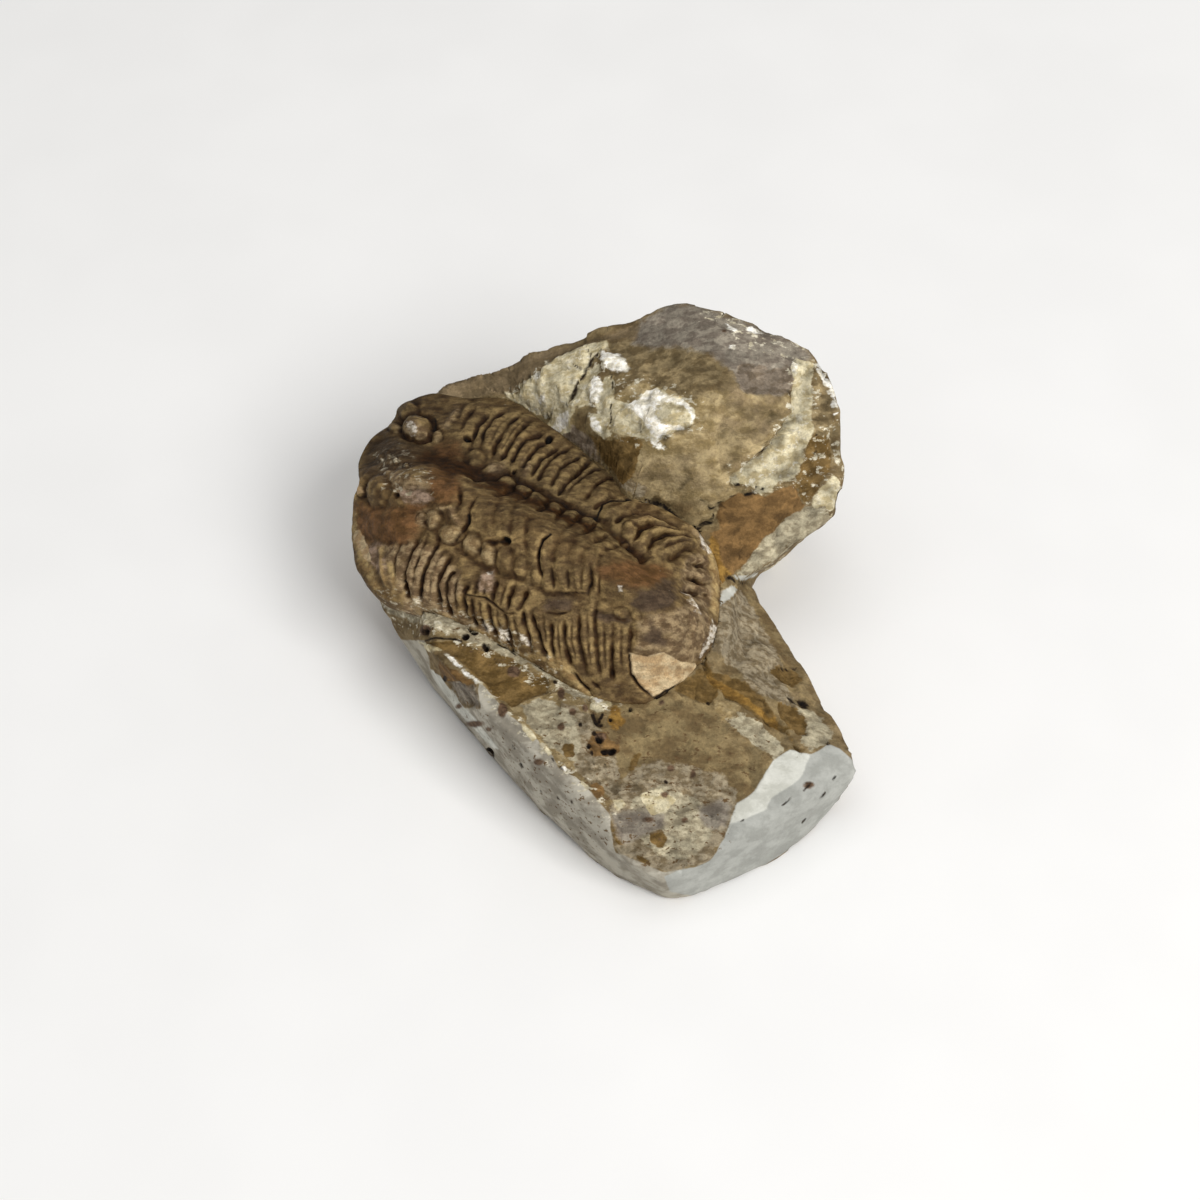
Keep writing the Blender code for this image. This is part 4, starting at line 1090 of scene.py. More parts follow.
STONE_PATCHES = {
    "pale": {
        "band under the cheek": [(378, 596), (396, 600), (420, 604), (436, 608), (452, 616), (468, 624),
                                 (490, 634), (512, 646), (530, 656), (527, 664), (510, 660), (488, 648),
                                 (466, 640), (440, 630), (414, 622), (392, 614), (380, 606)],
        "band under the ribs": [(527, 653), (545, 663), (557, 675), (573, 688), (589, 698), (586, 702),
                                (570, 694), (552, 681), (541, 670), (525, 660)],
        "low right face": [(807, 508), (824, 506), (830, 515), (827, 519), (813, 532), (788, 546),
                           (768, 561), (758, 569), (749, 573), (734, 575), (739, 568), (749, 558),
                           (757, 546), (767, 534), (777, 527), (788, 516)],
        "by the worm of rust": [(521, 706), (540, 700), (556, 704), (574, 716), (580, 740), (576, 762),
                                (548, 748), (530, 728)],
        "toe": [(630, 800), (660, 786), (700, 800), (716, 820), (706, 846), (680, 862), (650, 850),
                (632, 826)],
        "shelf": [(726, 722), (742, 712), (760, 722), (772, 735), (786, 748), (776, 762), (762, 750),
                  (745, 738)],
        "grey facet": [(800, 705), (810, 708), (818, 714), (831, 729), (834, 738), (828, 741), (813, 752),
                       (807, 748), (799, 739), (805, 734), (808, 722), (802, 711)],
    },
    "speckle": {
        "toe": [(611, 790), (630, 770), (655, 760), (690, 765), (720, 775), (738, 792), (731, 825),
                (722, 842), (708, 860), (680, 869), (664, 873), (640, 862), (616, 850), (612, 825)],
        "by the left face": [(560, 700), (590, 715), (610, 745), (622, 780), (612, 800), (590, 785),
                             (576, 768), (560, 740)],
        "right of the slab": [(712, 612), (738, 592), (755, 610), (775, 650), (792, 690), (800, 705),
                              (780, 700), (750, 690), (735, 670), (712, 650)],
        "front of the lump": [(560, 440), (590, 448), (620, 470), (650, 490), (640, 500), (606, 474),
                              (580, 455)],
    },
    "flecks": {
        "under the ribs": [(440, 622), (470, 634), (500, 650), (530, 662), (560, 678), (592, 700),
                           (620, 704), (610, 716), (580, 704), (545, 690), (520, 672), (480, 650),
                           (440, 634)],
        "under the cheek": [(378, 598), (400, 600), (440, 616), (436, 634), (410, 630), (386, 616)],
        "broken crest": [(731, 485), (729, 470), (757, 455), (790, 410), (790, 365), (816, 362), (814, 430),
                         (800, 476), (771, 494)],
        "great bruise": [(590, 395), (620, 380), (660, 382), (700, 400), (700, 428), (660, 446), (620, 440),
                         (596, 425)],
        "right edge": [(800, 480), (812, 430), (838, 420), (840, 500), (815, 512)],
        "plate": [(507, 397), (540, 372), (600, 342), (612, 350), (590, 400), (560, 420), (530, 415)],
        "edge of the left face": [(480, 684), (506, 712), (522, 724), (552, 752), (590, 783), (612, 815),
                                  (606, 818), (584, 792), (546, 760), (514, 730), (490, 704)],
        "top of the lump": [(700, 305), (750, 322), (812, 352), (800, 362), (740, 340), (700, 325)],
    },
    "specks": {
        "slab": [(560, 690), (620, 706), (700, 710), (770, 735), (735, 800), (725, 840), (690, 866),
                 (640, 862), (612, 815), (576, 775), (540, 730)],
        "by the holes": [(420, 625), (500, 640), (530, 660), (500, 665), (440, 650)],
        "left face": [(450, 690), (480, 710), (560, 780), (610, 830), (600, 860), (540, 810), (470, 730)],
    },
    "tan": {
        "front of the lump": [(604, 405), (640, 380), (700, 390), (745, 390), (790, 395), (785, 425),
                              (765, 448), (740, 466), (728, 486), (712, 500), (690, 500), (664, 500),
                              (640, 486), (625, 470), (608, 440)],
        "foot of the lump": [(700, 500), (730, 486), (760, 492), (720, 505), (714, 530), (704, 525)],
    },
    "crust": {
        "back strip": [(395, 420), (400, 395), (440, 380), (490, 374), (530, 358), (580, 345), (610, 335),
                       (640, 320), (700, 300), (640, 340), (608, 342), (592, 346), (566, 355), (537, 376),
                       (521, 384), (515, 393), (480, 396), (462, 400), (430, 405)],
    },
    "brown": {
        "strip of the slab": [(701, 662), (705, 654), (707, 665), (714, 672), (726, 677), (739, 679),
                              (749, 686), (754, 691), (766, 701), (775, 713), (782, 722), (789, 732),
                              (794, 745), (805, 751), (804, 753), (795, 748), (785, 732), (779, 727),
                              (767, 724), (757, 718), (747, 709), (739, 702), (726, 697), (720, 687),
                              (708, 674)],
        "under the white": [(589, 431), (606, 440), (612, 440), (634, 437), (645, 443), (640, 455),
                            (634, 478), (622, 484), (610, 470), (598, 452)],
        "smooth facet": [(426, 643), (452, 641), (467, 645), (481, 652), (499, 654), (516, 659), (522, 666),
                         (527, 671), (545, 674), (550, 684), (548, 691), (532, 697), (521, 703), (512, 708),
                         (504, 703), (494, 698), (481, 681), (466, 668), (455, 658), (441, 651)],
        "facet by the tail": [(673, 690), (700, 668), (717, 680), (719, 695), (709, 704), (688, 698)],
        "ledge": [(768, 669), (782, 666), (798, 672), (802, 682), (795, 685), (781, 680), (771, 673)],
        "low ledge": [(778, 702), (795, 702), (802, 711), (808, 723), (807, 734), (798, 734), (788, 727),
                      (782, 716)],
        "side by the crest": [(812, 432), (820, 436), (829, 430), (830, 455), (828, 470), (812, 500),
                              (806, 505), (800, 498), (799, 490), (792, 484), (803, 460), (808, 440)],
        "blotch": [(563, 744), (574, 746), (574, 757), (566, 759), (562, 751)],
        "bar": [(628, 770), (634, 756), (641, 753), (637, 765), (632, 772)],
        "low spot": [(636, 855), (643, 856), (649, 863), (641, 864)],
        "low blotch": [(650, 834), (660, 829), (668, 838), (662, 847), (652, 845)],
        "left blotch": [(612, 830), (620, 832), (626, 844), (619, 845)],
    },
    "orange": {
        "patch of the notch": [(721, 504), (736, 492), (747, 495), (766, 495), (780, 487), (793, 485),
                               (799, 491), (800, 499), (807, 505), (800, 511), (788, 516), (775, 528),
                               (766, 534), (756, 546), (749, 557), (742, 565), (731, 575), (720, 584),
                               (716, 573), (711, 560), (707, 550), (711, 534), (719, 529), (716, 516)],
        "left streak": [(439, 659), (445, 665), (457, 672), (470, 680), (478, 690), (474, 684), (452, 681),
                        (443, 676)],
        "round the holes": [(586, 745), (594, 732), (606, 733), (610, 742), (618, 744), (620, 752),
                            (604, 758), (592, 757)],
        "low patch": [(590, 784), (598, 782), (605, 787), (604, 796), (597, 799), (590, 792)],
    },
    "ochre": {
        "edge of the strip": [(706, 664), (716, 678), (728, 686), (742, 694), (756, 704), (770, 714),
                              (782, 728), (779, 730), (766, 718), (752, 709), (738, 700), (724, 694),
                              (712, 684)],
        "by the crystal": [(611, 707), (615, 704), (620, 711), (621, 718), (625, 722), (621, 728),
                           (616, 732), (610, 727), (607, 722)],
        "end of the strip": [(770, 716), (776, 714), (780, 722), (776, 727), (771, 722)],
        "tail edge": [(710, 533), (716, 541), (720, 560), (730, 575), (720, 584), (718, 600), (716, 612),
                      (713, 600), (713, 570), (708, 548)],
        "under the cheek": [(356, 548), (366, 560), (376, 580), (386, 600), (380, 602), (366, 578),
                            (357, 560)],
    },
    "grey": {
        "top of the lump": [(640, 322), (667, 308), (700, 307), (712, 311), (745, 321), (775, 332),
                            (800, 344), (812, 355), (798, 371), (794, 376), (790, 392), (775, 395),
                            (749, 394), (740, 388), (736, 376), (731, 371), (721, 364), (711, 356),
                            (698, 351), (685, 348), (660, 348), (632, 345)],
        "dark triangle": [(449, 681), (464, 682), (474, 684), (478, 696), (480, 708), (474, 708), (464, 702),
                          (455, 691)],
        "purple of the toe": [(611, 813), (644, 810), (666, 815), (665, 828), (642, 838), (624, 843),
                              (615, 833)],
        "grey of the toe": [(698, 806), (720, 800), (731, 808), (726, 826), (712, 830), (700, 822)],
    },
    "pinkish": {
        "under the top": [(738, 364), (752, 362), (770, 370), (788, 364), (794, 374), (790, 392), (775, 395),
                          (749, 394), (740, 388), (736, 376)],
        "by the ribs": [(567, 422), (589, 433), (598, 450), (606, 466), (600, 470), (592, 458), (582, 448),
                        (571, 442), (556, 439)],
    },
    "olive": {
        "top of the lump": [(612, 345), (640, 338), (668, 343), (700, 352), (716, 362), (722, 372),
                            (716, 384), (704, 392), (694, 400), (680, 396), (668, 390), (655, 386),
                            (640, 384), (632, 376), (630, 366), (620, 352)],
        "right side": [(813, 362), (818, 380), (824, 394), (831, 394), (831, 415), (829, 430), (820, 436),
                       (812, 432), (810, 415), (813, 397), (812, 379)],
        "smudge": [(717, 459), (724, 458), (731, 464), (733, 472), (722, 470)],
        "dark by the white": [(671, 430), (686, 427), (691, 424), (690, 431), (676, 434)],
        "dark under the white": [(658, 437), (671, 432), (669, 442), (663, 443)],
    },
    "buff": {
        "middle of the slab": [(509, 709), (530, 700), (550, 694), (575, 690), (589, 696), (590, 735),
                               (576, 770), (558, 765), (538, 742), (521, 726)],
        "bevel of the lump": [(749, 457), (768, 433), (787, 412), (792, 415), (772, 438), (753, 452)],
        "notch floor": [(719, 590), (731, 584), (739, 585), (730, 598), (719, 604)],
        "low corner of the lump": [(622, 492), (640, 483), (660, 478), (664, 488), (650, 500), (636, 500)],
        "chip of the slab": [(713, 699), (744, 707), (722, 723), (716, 712)],
    },
    # Painted shade: the left ground face takes a slightly darker copy of the ground finish
    "ground_left": {
        "left face": [(400, 640), (425, 640), (432, 669), (442, 675), (450, 686), (457, 696), (467, 707),
                      (481, 709), (479, 696), (478, 691), (480, 684), (492, 696), (506, 714), (521, 726),
                      (538, 742), (545, 753), (552, 755), (558, 767), (566, 773), (576, 777), (586, 786),
                      (594, 797), (604, 808), (610, 815), (611, 828), (615, 843), (616, 851), (640, 862),
                      (664, 872), (690, 868), (700, 900), (600, 900), (500, 800)],
    },
    "ground_right": {
        "right face": [(789, 750), (793, 750), (800, 753), (810, 755), (817, 752), (827, 745), (831, 745),
                       (841, 750), (851, 759), (870, 780), (800, 860), (720, 900), (670, 890), (664, 876),
                       (681, 869), (698, 864), (710, 859), (724, 838), (729, 825), (736, 804), (748, 797),
                       (756, 789), (762, 779), (772, 762)],
    },
    # Painted light: a lighter copy of the ground finish on the bevel of the right face, the upper corner of
    # the left face and the bright edges by the notch and the tail
    "ground_light": {
        "bevel of the right face": [(789, 750), (793, 750), (800, 753), (810, 755), (800, 778), (788, 788),
                                    (772, 797), (765, 810), (749, 817), (731, 824), (724, 838), (729, 825),
                                    (736, 804), (748, 797), (756, 789), (762, 779), (772, 762)],
        "corner of the left face": [(432, 669), (442, 675), (450, 686), (457, 696), (467, 707), (478, 720),
                                    (500, 748), (494, 748), (460, 712), (436, 680)],
        "notch": [(731, 575), (742, 575), (757, 570), (757, 575), (743, 580), (736, 579)],
        "pale strip by the tail": [(718, 603), (722, 592), (731, 586), (736, 590), (728, 600), (720, 606)],
    },
    "cream": {
        "by the white": [(598, 388), (606, 380), (614, 378), (616, 400), (632, 403), (640, 412), (650, 428),
                         (664, 438), (655, 441), (635, 438), (618, 435), (606, 424), (597, 408)],
        "under the bruise": [(634, 402), (646, 394), (658, 388), (672, 396), (684, 398), (695, 408),
                             (692, 424), (676, 430), (664, 438), (656, 436), (644, 422)],
        "plate": [(521, 383.5), (537, 376.5), (553.6, 365), (566, 355), (581.6, 349.7), (592, 346),
                  (608, 342), (610, 347), (606, 355), (597, 361), (592, 366), (588, 375), (582, 384),
                  (571, 398), (564, 406), (555, 411), (546, 415), (537, 415), (531, 411), (521, 405),
                  (507, 397), (505, 393), (515, 393), (524, 394), (523, 388)],
        "chip by the ribs": [(547, 428), (553, 416), (562, 406), (575, 402), (577, 412), (573, 422),
                             (573, 430), (564, 434), (556, 439), (550, 434)],
        "right of the crack": [(577, 392), (586, 378), (594, 368), (600, 366), (603, 372), (598, 380),
                               (591, 388), (590, 398), (592, 404), (584, 407), (576, 406), (570, 402)],
        "wedge": [(589, 413), (600, 415), (606, 424), (611, 435), (605, 439), (597, 431)],
        "crystal in the white": [(662, 407), (675, 402), (687, 408), (689, 418), (680, 423), (668, 421),
                                 (660, 416)],
        "broken crest": [(795, 359), (800, 360), (813, 364), (816, 371), (812, 379), (813, 397), (810, 415),
                         (813, 428), (808, 440), (803, 459), (798, 476), (786, 482), (780, 481), (771, 491),
                         (761, 495), (754, 487), (742, 484), (731, 485), (729, 477), (739, 470), (749, 463),
                         (757, 458), (768, 448), (775, 439), (782, 428), (790, 412), (790, 397), (794, 379),
                         (791, 369)],
        "corner of the lump": [(812, 500), (826, 482), (830, 471), (839, 483), (840, 491), (830, 515),
                               (824, 506), (816, 509), (810, 502)],
        "crystal": [(590, 697), (602, 694), (612, 699), (611, 705), (603, 712), (596, 713), (591, 709)],
        "step of the slab": [(521, 725), (530, 730), (537, 741), (533, 743), (524, 732)],
        "second step": [(545, 748), (552, 754), (549, 757), (543, 750)],
        "third step": [(582, 780), (590, 787), (586, 790), (580, 784)],
        "pale of the toe": [(640, 795), (660, 788), (676, 800), (668, 812), (650, 814)],
        "second pale of the toe": [(612, 800), (622, 798), (626, 806), (616, 812)],
        "edge under the holes": [(420, 640), (430, 645), (441, 651), (438, 653), (426, 648)],
    },
    "white": {
        # Painted highlight: white laid on the cream chip by the ribs, whose steep face the lamps leave dim
        "glint of the chip": [(556, 424), (562, 414), (571, 409), (573, 416), (570, 425), (563, 430)],
        "first bruise": [(601, 361), (608, 354), (617, 354), (626, 359), (631, 368), (629, 373), (622, 373),
                         (613, 375), (607, 368)],
        "second bruise": [(594, 376), (601, 379), (604, 385), (602, 398), (598, 405), (592, 402),
                          (590, 389)],
        "great bruise": [(634, 402), (643, 398), (647, 392), (658, 388), (664, 394), (672, 397), (684, 399),
                         (694, 407), (692, 422), (689, 424), (690, 412), (684, 406), (672, 401),
                         (660, 406), (657, 416), (664, 424), (684, 425), (684, 429), (672, 429), (667, 434),
                         (658, 438), (650, 430), (644, 420), (635, 412), (630, 406)],
        "stripe": [(648, 436), (654, 438), (667, 448), (664, 450), (653, 444)],
        "edge of the wedge": [(590, 414), (596, 416), (604, 428), (602, 434), (596, 428)],
        "foot of the chip": [(549, 430), (556, 424), (562, 430), (556, 437)],
        "plate corner": [(534, 376), (541, 375), (544, 379), (538, 381)],
        "plate foot": [(541, 397), (547, 394), (550, 400), (544, 404)],
        # Painted highlight on the same chip
        "chip light": [(561, 419), (567, 417), (567, 426), (562, 427)],
        "fleck on top": [(726, 322), (737, 331), (732, 332), (727, 328)],
        "second fleck": [(742, 327), (752, 328), (765, 335), (758, 336), (748, 333)],
        "third fleck": [(728, 344), (735, 346), (735, 350), (729, 349)],
        "crest fleck": [(792, 361), (799, 361), (797, 370), (793, 373)],
        "right edge": [(817, 360), (824, 366), (831, 383), (839, 408), (836, 417), (832, 412), (831, 397),
                       (824, 383), (819, 371)],
        "streak of the facet": [(444, 656), (453, 660), (465, 671), (474, 677), (482, 686), (478, 685),
                                (469, 677), (457, 667)],
        "step light": [(563, 766), (572, 771), (569, 773), (562, 769)],
        "crystal light": [(593, 700), (600, 697), (603, 702), (597, 707)],
        "rim crumbs": [(386, 602), (396, 606), (394, 609), (384, 606)],
        "second rim crumbs": [(430, 600), (438, 604), (440, 610), (432, 608)],
    },
}

# Cracks that are both sunk and dark
STONE_CRACKS = [
    [(590.5, 350), (593.5, 360), (588, 373.5), (579, 387), (571, 398)],
    [(574.5, 366), (588, 374)],
    [(709.7, 516.5), (711, 509.5), (704.6, 501), (700.8, 498.7)],
    [(711, 509.5), (721, 502.5), (734, 493.6)],
    [(741.6, 464.5), (755, 457), (768.4, 446.7)],
    [(426, 640), (440, 638), (455, 640), (463, 643)],
]
# Dark marks: half width (pixels) and their lines
STONE_DARK_LINES = {
    "cracks": (1.0, [
        *STONE_CRACKS,
        [(605, 352), (596, 361), (591, 366)],
        [(612.2, 376.5), (613.5, 390)],
        [(614.8, 404), (612.2, 425)],
        [(498, 644), (508, 648), (516, 654)],
        [(780, 668), (795, 669.3)],
        [(812, 438), (816, 432)],
        [(812, 455), (818, 447)],
        [(553, 650), (562, 662), (577, 674), (588, 690)],
    ]),
    # Painted shade and shadow: the black of the gap behind the tail and of the crevices, among them those
    # under the notch's white rim and under the ledge
    "painted shade of crevices": (1.7, [
        [(646, 500), (660, 505), (673, 514), (685.5, 521.6), (697, 528), (704.6, 524.2), (712.3, 524.2),
         (713.6, 516.5)],
        [(734, 484), (739, 484)],
        [(745, 495), (757, 495)],
        [(758, 488.5), (764, 489)],
        [(730, 578), (737, 582), (743, 583)],
        [(789, 696), (799, 699), (803, 700), (809, 706)],
        [(593, 715), (596, 724), (601, 726)],
        [(598, 722), (602, 715)],
    ]),
    # Painted shade: the black laid in the holes stands in for the shade inside them
    "holes": (3.0, [
        [(427, 631.5), (427.5, 632.5)],
        [(471, 628), (475, 634)],
        [(465, 639), (467, 638)],
        [(484, 646), (485.5, 648)],
        [(490, 750), (492.5, 755)],
        [(598, 740.5), (598.5, 741.5)],
        [(603, 753), (605, 752.5)],
        [(610, 752), (613, 751.5)],
    ]),
    "spots": (2.0, [
        [(588, 746.5), (588.5, 747.5)],
        [(609.5, 720.5), (610, 721)],
        [(630, 710), (630.5, 711)],
        [(593.5, 734), (594, 735.5)],
        [(580.5, 725), (581, 726)],
        [(446, 676.5), (447, 678)],
        [(665.5, 781.5), (666, 782.5)],
        [(591, 753), (591.5, 753.5)],
        [(554.5, 682), (555, 683)],
        [(708, 703.5), (709, 704)],
        [(828, 743), (828.5, 744)],
    ]),
    "dashes": (0.9, [
        [(831.6, 780.3), (835.4, 774)],
        [(803, 790.5), (809, 784)],
        [(819.4, 798), (824.5, 791.8)],
        [(781, 805.8), (791.4, 796.9)],
        [(741, 821.5), (744, 819)],
        [(801, 822.4), (805.4, 817.3)],
        [(521, 763), (523, 767)],
        [(513, 744), (515, 748)],
        [(542, 790), (543, 793)],
        [(572, 799), (573, 802)],
        [(558, 797), (560, 800)],
        [(623, 751), (623.5, 752)],
        [(594, 763.5), (594.5, 765)],
        [(604, 764.5), (605, 765.5)],
        [(592, 783), (593, 785)],
        [(560, 767), (564, 770)],
        [(551, 758), (554, 762)],
    ]),
}
# Brown and purple-grey spots of iron and manganese: centre and half sizes (pixels)
STONE_SPOTS = {
    "by the crystal": (572.6, 713, 3.5, 3.5),
    "worm of rust": (561, 694, 3.5, 6.5),
    "second": (561, 728, 4, 4),
    "edge spot": (585, 709, 3, 4),
    "purple streak": (476, 723, 9, 3.2),
    "small purple": (490, 728.5, 3, 2.5),
    "pink ring": (460, 705.5, 3, 2.5),
    "ring": (503, 712, 5, 7),
    "reddish": (600, 738, 6, 5),
    "facet spot": (513, 670, 7, 5.5),
    "tail spot": (661.4, 702.3, 3, 2.5),
    "long spot": (539, 761.5, 5, 3),
    "toe spot": (648, 819.7, 6, 2.8),
    "second toe spot": (664.6, 795, 4, 3),
    "third toe spot": (684.4, 820.3, 3.5, 3),
    "fourth toe spot": (671, 768, 4, 3.5),
    "fifth toe spot": (693, 774, 3, 4),
    "right dash": (808, 785, 5.5, 3.5),
    "top spot": (724, 332, 2.5, 2.5),
    "hole rim": (427, 630, 7, 6),
}

# Relief of the stone: height in mm, half width in pixels, and lines as on the shell
STONE_LINES = {
    "cracks": (-0.3, 1.6, [
        *STONE_CRACKS,
        [(701, 662), (714, 680), (735, 700), (757, 717)],
    ]),
    "gap behind the tail": (-0.9, 3.2, [
        [(646, 501), (660, 505), (673, 514), (685.5, 521.6), (697, 528), (704.6, 524.2), (712.3, 524.2),
         (713.6, 516.5)],
    ]),
    "crevices": (-0.8, 2.5, [
        [(734, 486), (747, 494), (764, 490)],
        [(671, 431), (688, 427)],
        [(658, 438), (668, 436)],
        [(730, 578), (743, 583)],
        [(789, 696), (799, 699), (809, 706)],
        [(593, 715), (596, 724), (603, 728)],
    ]),
    "steps": (0.45, 3.0, [
        [(442, 655), (456, 663), (474, 675), (492, 694), (506, 714), (522, 726), (537, 742), (551, 754)],
        [(779, 709), (788, 725), (800, 745)],
        [(748, 458), (768, 434), (788, 412)],
    ]),
}
STONE_KNOBS = {
    "hole": (427, 632, 4.5, 4.5, -1.4),
    "second hole": (473, 631, 4.5, 5, -1.2),
    "third hole": (466, 638.5, 4, 3.5, -1.0),
    "fourth hole": (485, 647, 4.5, 4.5, -1.3),
    "edge hole": (491, 753, 3.5, 5.5, -1.0),
    "great hole": (604, 752.5, 5, 4, -1.0),
    "second great hole": (611.5, 751.5, 4.5, 4, -1.0),
    "rust hole": (598, 741, 5, 4.5, -0.8),
    "small hole": (588, 747, 3.2, 3.2, -0.7),
    "ochre hole": (609.7, 720.8, 3, 3, -0.7),
    "tail hole": (630, 710.6, 3.2, 3, -0.7),
    "crystal": (601, 703, 11, 9, 0.6),
    "great bruise": (663, 412, 30, 24, 0.35),
    "first bruise": (617, 364, 14, 10, 0.3),
}
# Patches that stand above or lie below what is round them: the patch's finish, its name and height (mm)
STONE_STEPS = [
    ("cream", "plate", 0.5), ("cream", "chip by the ribs", 0.5), ("cream", "broken crest", -0.45),
    ("white", "great bruise", 0.25), ("white", "first bruise", 0.3), ("white", "second bruise", 0.3),
    ("brown", "smooth facet", -0.3), ("brown", "facet by the tail", -0.35), ("brown", "ledge", -0.4),
    ("brown", "low ledge", -0.5), ("brown", "strip of the slab", -0.5), ("grey", "dark triangle", -0.4),
    ("buff", "chip of the slab", 0.25), ("pinkish", "under the top", -0.4),
    ("buff", "bevel of the lump", 0.2), ("cream", "corner of the lump", 0.3),
]
# Patches on the sides that the photograph doesn't show, of the same finishes: their size in mm, the level of
# the noise above which they show, and its seed
HIDDEN_PATCHES = {
    "tan": (9.0, 0.05, 52),
    "olive": (6.0, 0.1, 54),
    "grey": (11.0, 0.15, 53),
    "buff": (4.0, 0.2, 57),
    "pale": (6.0, 0.25, 55),
    "brown": (7.0, 0.35, 56),
    "specks": (5.0, 0.3, 58),
    "flecks": (7.0, 0.15, 59),
}
HIDDEN_GAIN = 25
CRUST_GAIN, CRUST_LEVEL = 7, 3.0
CRUST_NOISES = [(4, 9.0, 51)]
UNSEEN_FACING = (0.18, -0.05)


def flakes(points, size, tilt, seed):
    """Broken facets: the height of the tilted plane of the nearest centre, blended over narrow steps.

    The centres are scattered one to a cube, and each has a slope of its own.
    """
    cell = np.floor(points / size).astype(np.int64)
    first, second = np.full((2, *points.shape[:-1]), np.inf)
    first_height, second_height = np.zeros((2, *points.shape[:-1]))
    for corner in itertools.product((-1, 0, 1), repeat=3):
        near = cell + np.array(corner)
        places = np.stack([cell_number(near, seed + axis) for axis in range(3)], axis=-1)
        slopes = np.stack([cell_number(near, seed + 7 + axis) for axis in range(3)], axis=-1) - 0.5
        step = points - (near + places) * size
        distance = np.linalg.norm(step, axis=-1)
        height = tilt * (step * slopes).sum(axis=-1)
        closest = distance < first
        next_closest = ~closest & (distance < second)
        second_height = np.where(closest, first_height, np.where(next_closest, height, second_height))
        second = np.where(closest, first, np.where(next_closest, distance, second))
        first_height = np.where(closest, height, first_height)
        first = np.where(closest, distance, first)
    share = 0.5 + 0.5 * smooth_step(0, 0.16 * size, second - first)
    return first_height * share + second_height * (1 - share)


def block_planes(corners):
    """Outward directions and distances of the faces of the convex body that hugs the corners."""
    body = bmesh.new()
    for x, y, z in corners:
        body.verts.new((x, y, z if z > 0 else -FOOT_BURIED))
    bmesh.ops.convex_hull(body, input=body.verts)
    bmesh.ops.recalc_face_normals(body, faces=body.faces)
    planes = set()
    for face in body.faces:
        face.normal_update()
        planes.add((*np.round(face.normal, 4), round(face.normal.dot(face.verts[0].co), 3)))
    body.free()
    table = np.array(sorted(planes), dtype=float)
    return table[:, :3], table[:, 3]


def rounded_max(values, rounding):
    """The largest along the last axis, with a parabola over each crease where the two largest are close."""
    two = np.partition(values, -2, axis=-1)[..., -2:]
    near = np.clip(rounding - (two[..., 1] - two[..., 0]), 0, None)
    return two[..., 1] + near ** 2 / (4 * rounding)


stone_blocks = [block_planes(corners) for corners in (SLAB_CORNERS, RIDGE_CORNERS, LUMP_CORNERS)]


def stone_distance(points):
    """Distance outside (positive) or inside the stone: three rounded blocks grown together, cut flat."""
    blocks = [rounded_max(points @ normals.T - reach, EDGE_ROUNDING) for normals, reach in stone_blocks]
    together = -rounded_max(-np.stack(blocks, axis=-1), JOIN_ROUNDING)
    return rounded_max(np.stack([together, -points[..., 2]], axis=-1), FOOT_ROUNDING)


def stone_skin(bearings, sweeps):
    """Points where rays meet the stone's surface, by halving the stretch that holds it.

    A bearing is the direction in plan from the stone's axis. In that upright half plane rays leave a
    point on the stone's inside, and the sweep is their angle, from over the axis to under it.
    """
    plan = np.stack([np.cos(bearings), np.sin(bearings)], axis=-1)[:, None, :]
    near = np.zeros(sweeps.shape)
    far = np.full(sweeps.shape, SWEEP_REACH)

    def ray_points(reach):
        out = SWEEP_RADIUS + reach * np.cos(sweeps)
        flat = STONE_AXIS + plan * out[..., None]
        return np.concatenate([flat, (SWEEP_HEIGHT + reach * np.sin(sweeps))[..., None]], axis=-1)

    for _ in range(HALVINGS):
        middle = (near + far) / 2
        outside = stone_distance(ray_points(middle)) > 0
        far = np.where(outside, middle, far)
        near = np.where(outside, near, middle)
    return ray_points((near + far) / 2)


heights = np.linspace(SWEEP_HEIGHT, SWEEP_REACH, AXIS_SAMPLES)
axis_line = np.column_stack([np.tile(STONE_AXIS, (AXIS_SAMPLES, 1)), heights])
axis_top = heights[np.argmax(stone_distance(axis_line) > 0)]
first_sweep = math.atan2(axis_top - SWEEP_HEIGHT, -SWEEP_RADIUS)
last_sweep = math.atan2(-SWEEP_HEIGHT, -SWEEP_RADIUS)
bearings = np.linspace(0, 2 * math.pi, STONE_COLUMNS, endpoint=False)

# The rings are spread so that they are close where the stone is seen and far apart under the fossil
# and on the foot: a first sweep measures the way, and the rings share out its weighted length
trial = np.tile(np.linspace(first_sweep, last_sweep, FIRST_SAMPLES), (STONE_COLUMNS, 1))
skin = stone_skin(bearings, trial)
ring_points = rim_points[::RIM_STEP]
under = depth_inside(ring_points[:, :2], skin.reshape(-1, 3)[:, :2]).reshape(trial.shape)
middle_under = (under[:, 1:] + under[:, :-1]) / 2
middle_height = (skin[:, 1:, 2] + skin[:, :-1, 2]) / 2
weight = np.where((middle_under > UNDER_DEPTH) & (middle_height > UNDER_HEIGHT), UNDER_WEIGHT, 1.0)
weight = np.where(middle_height < FOOT_HEIGHT, FOOT_WEIGHT, weight)
way = np.linalg.norm(np.diff(skin, axis=1), axis=-1) * weight + LEAST_WAY
way = np.concatenate([np.zeros((STONE_COLUMNS, 1)), np.cumsum(way, axis=1)], axis=1)
shares = np.linspace(0, 1, STONE_RINGS)
sweeps = np.stack([np.interp(shares * total[-1], total, angles) for total, angles in zip(way, trial)])
skin = stone_skin(bearings, sweeps)
flat_skin = skin.reshape(-1, 3)
flat_normals = -grid_normals(skin, closed=True).reshape(-1, 3)

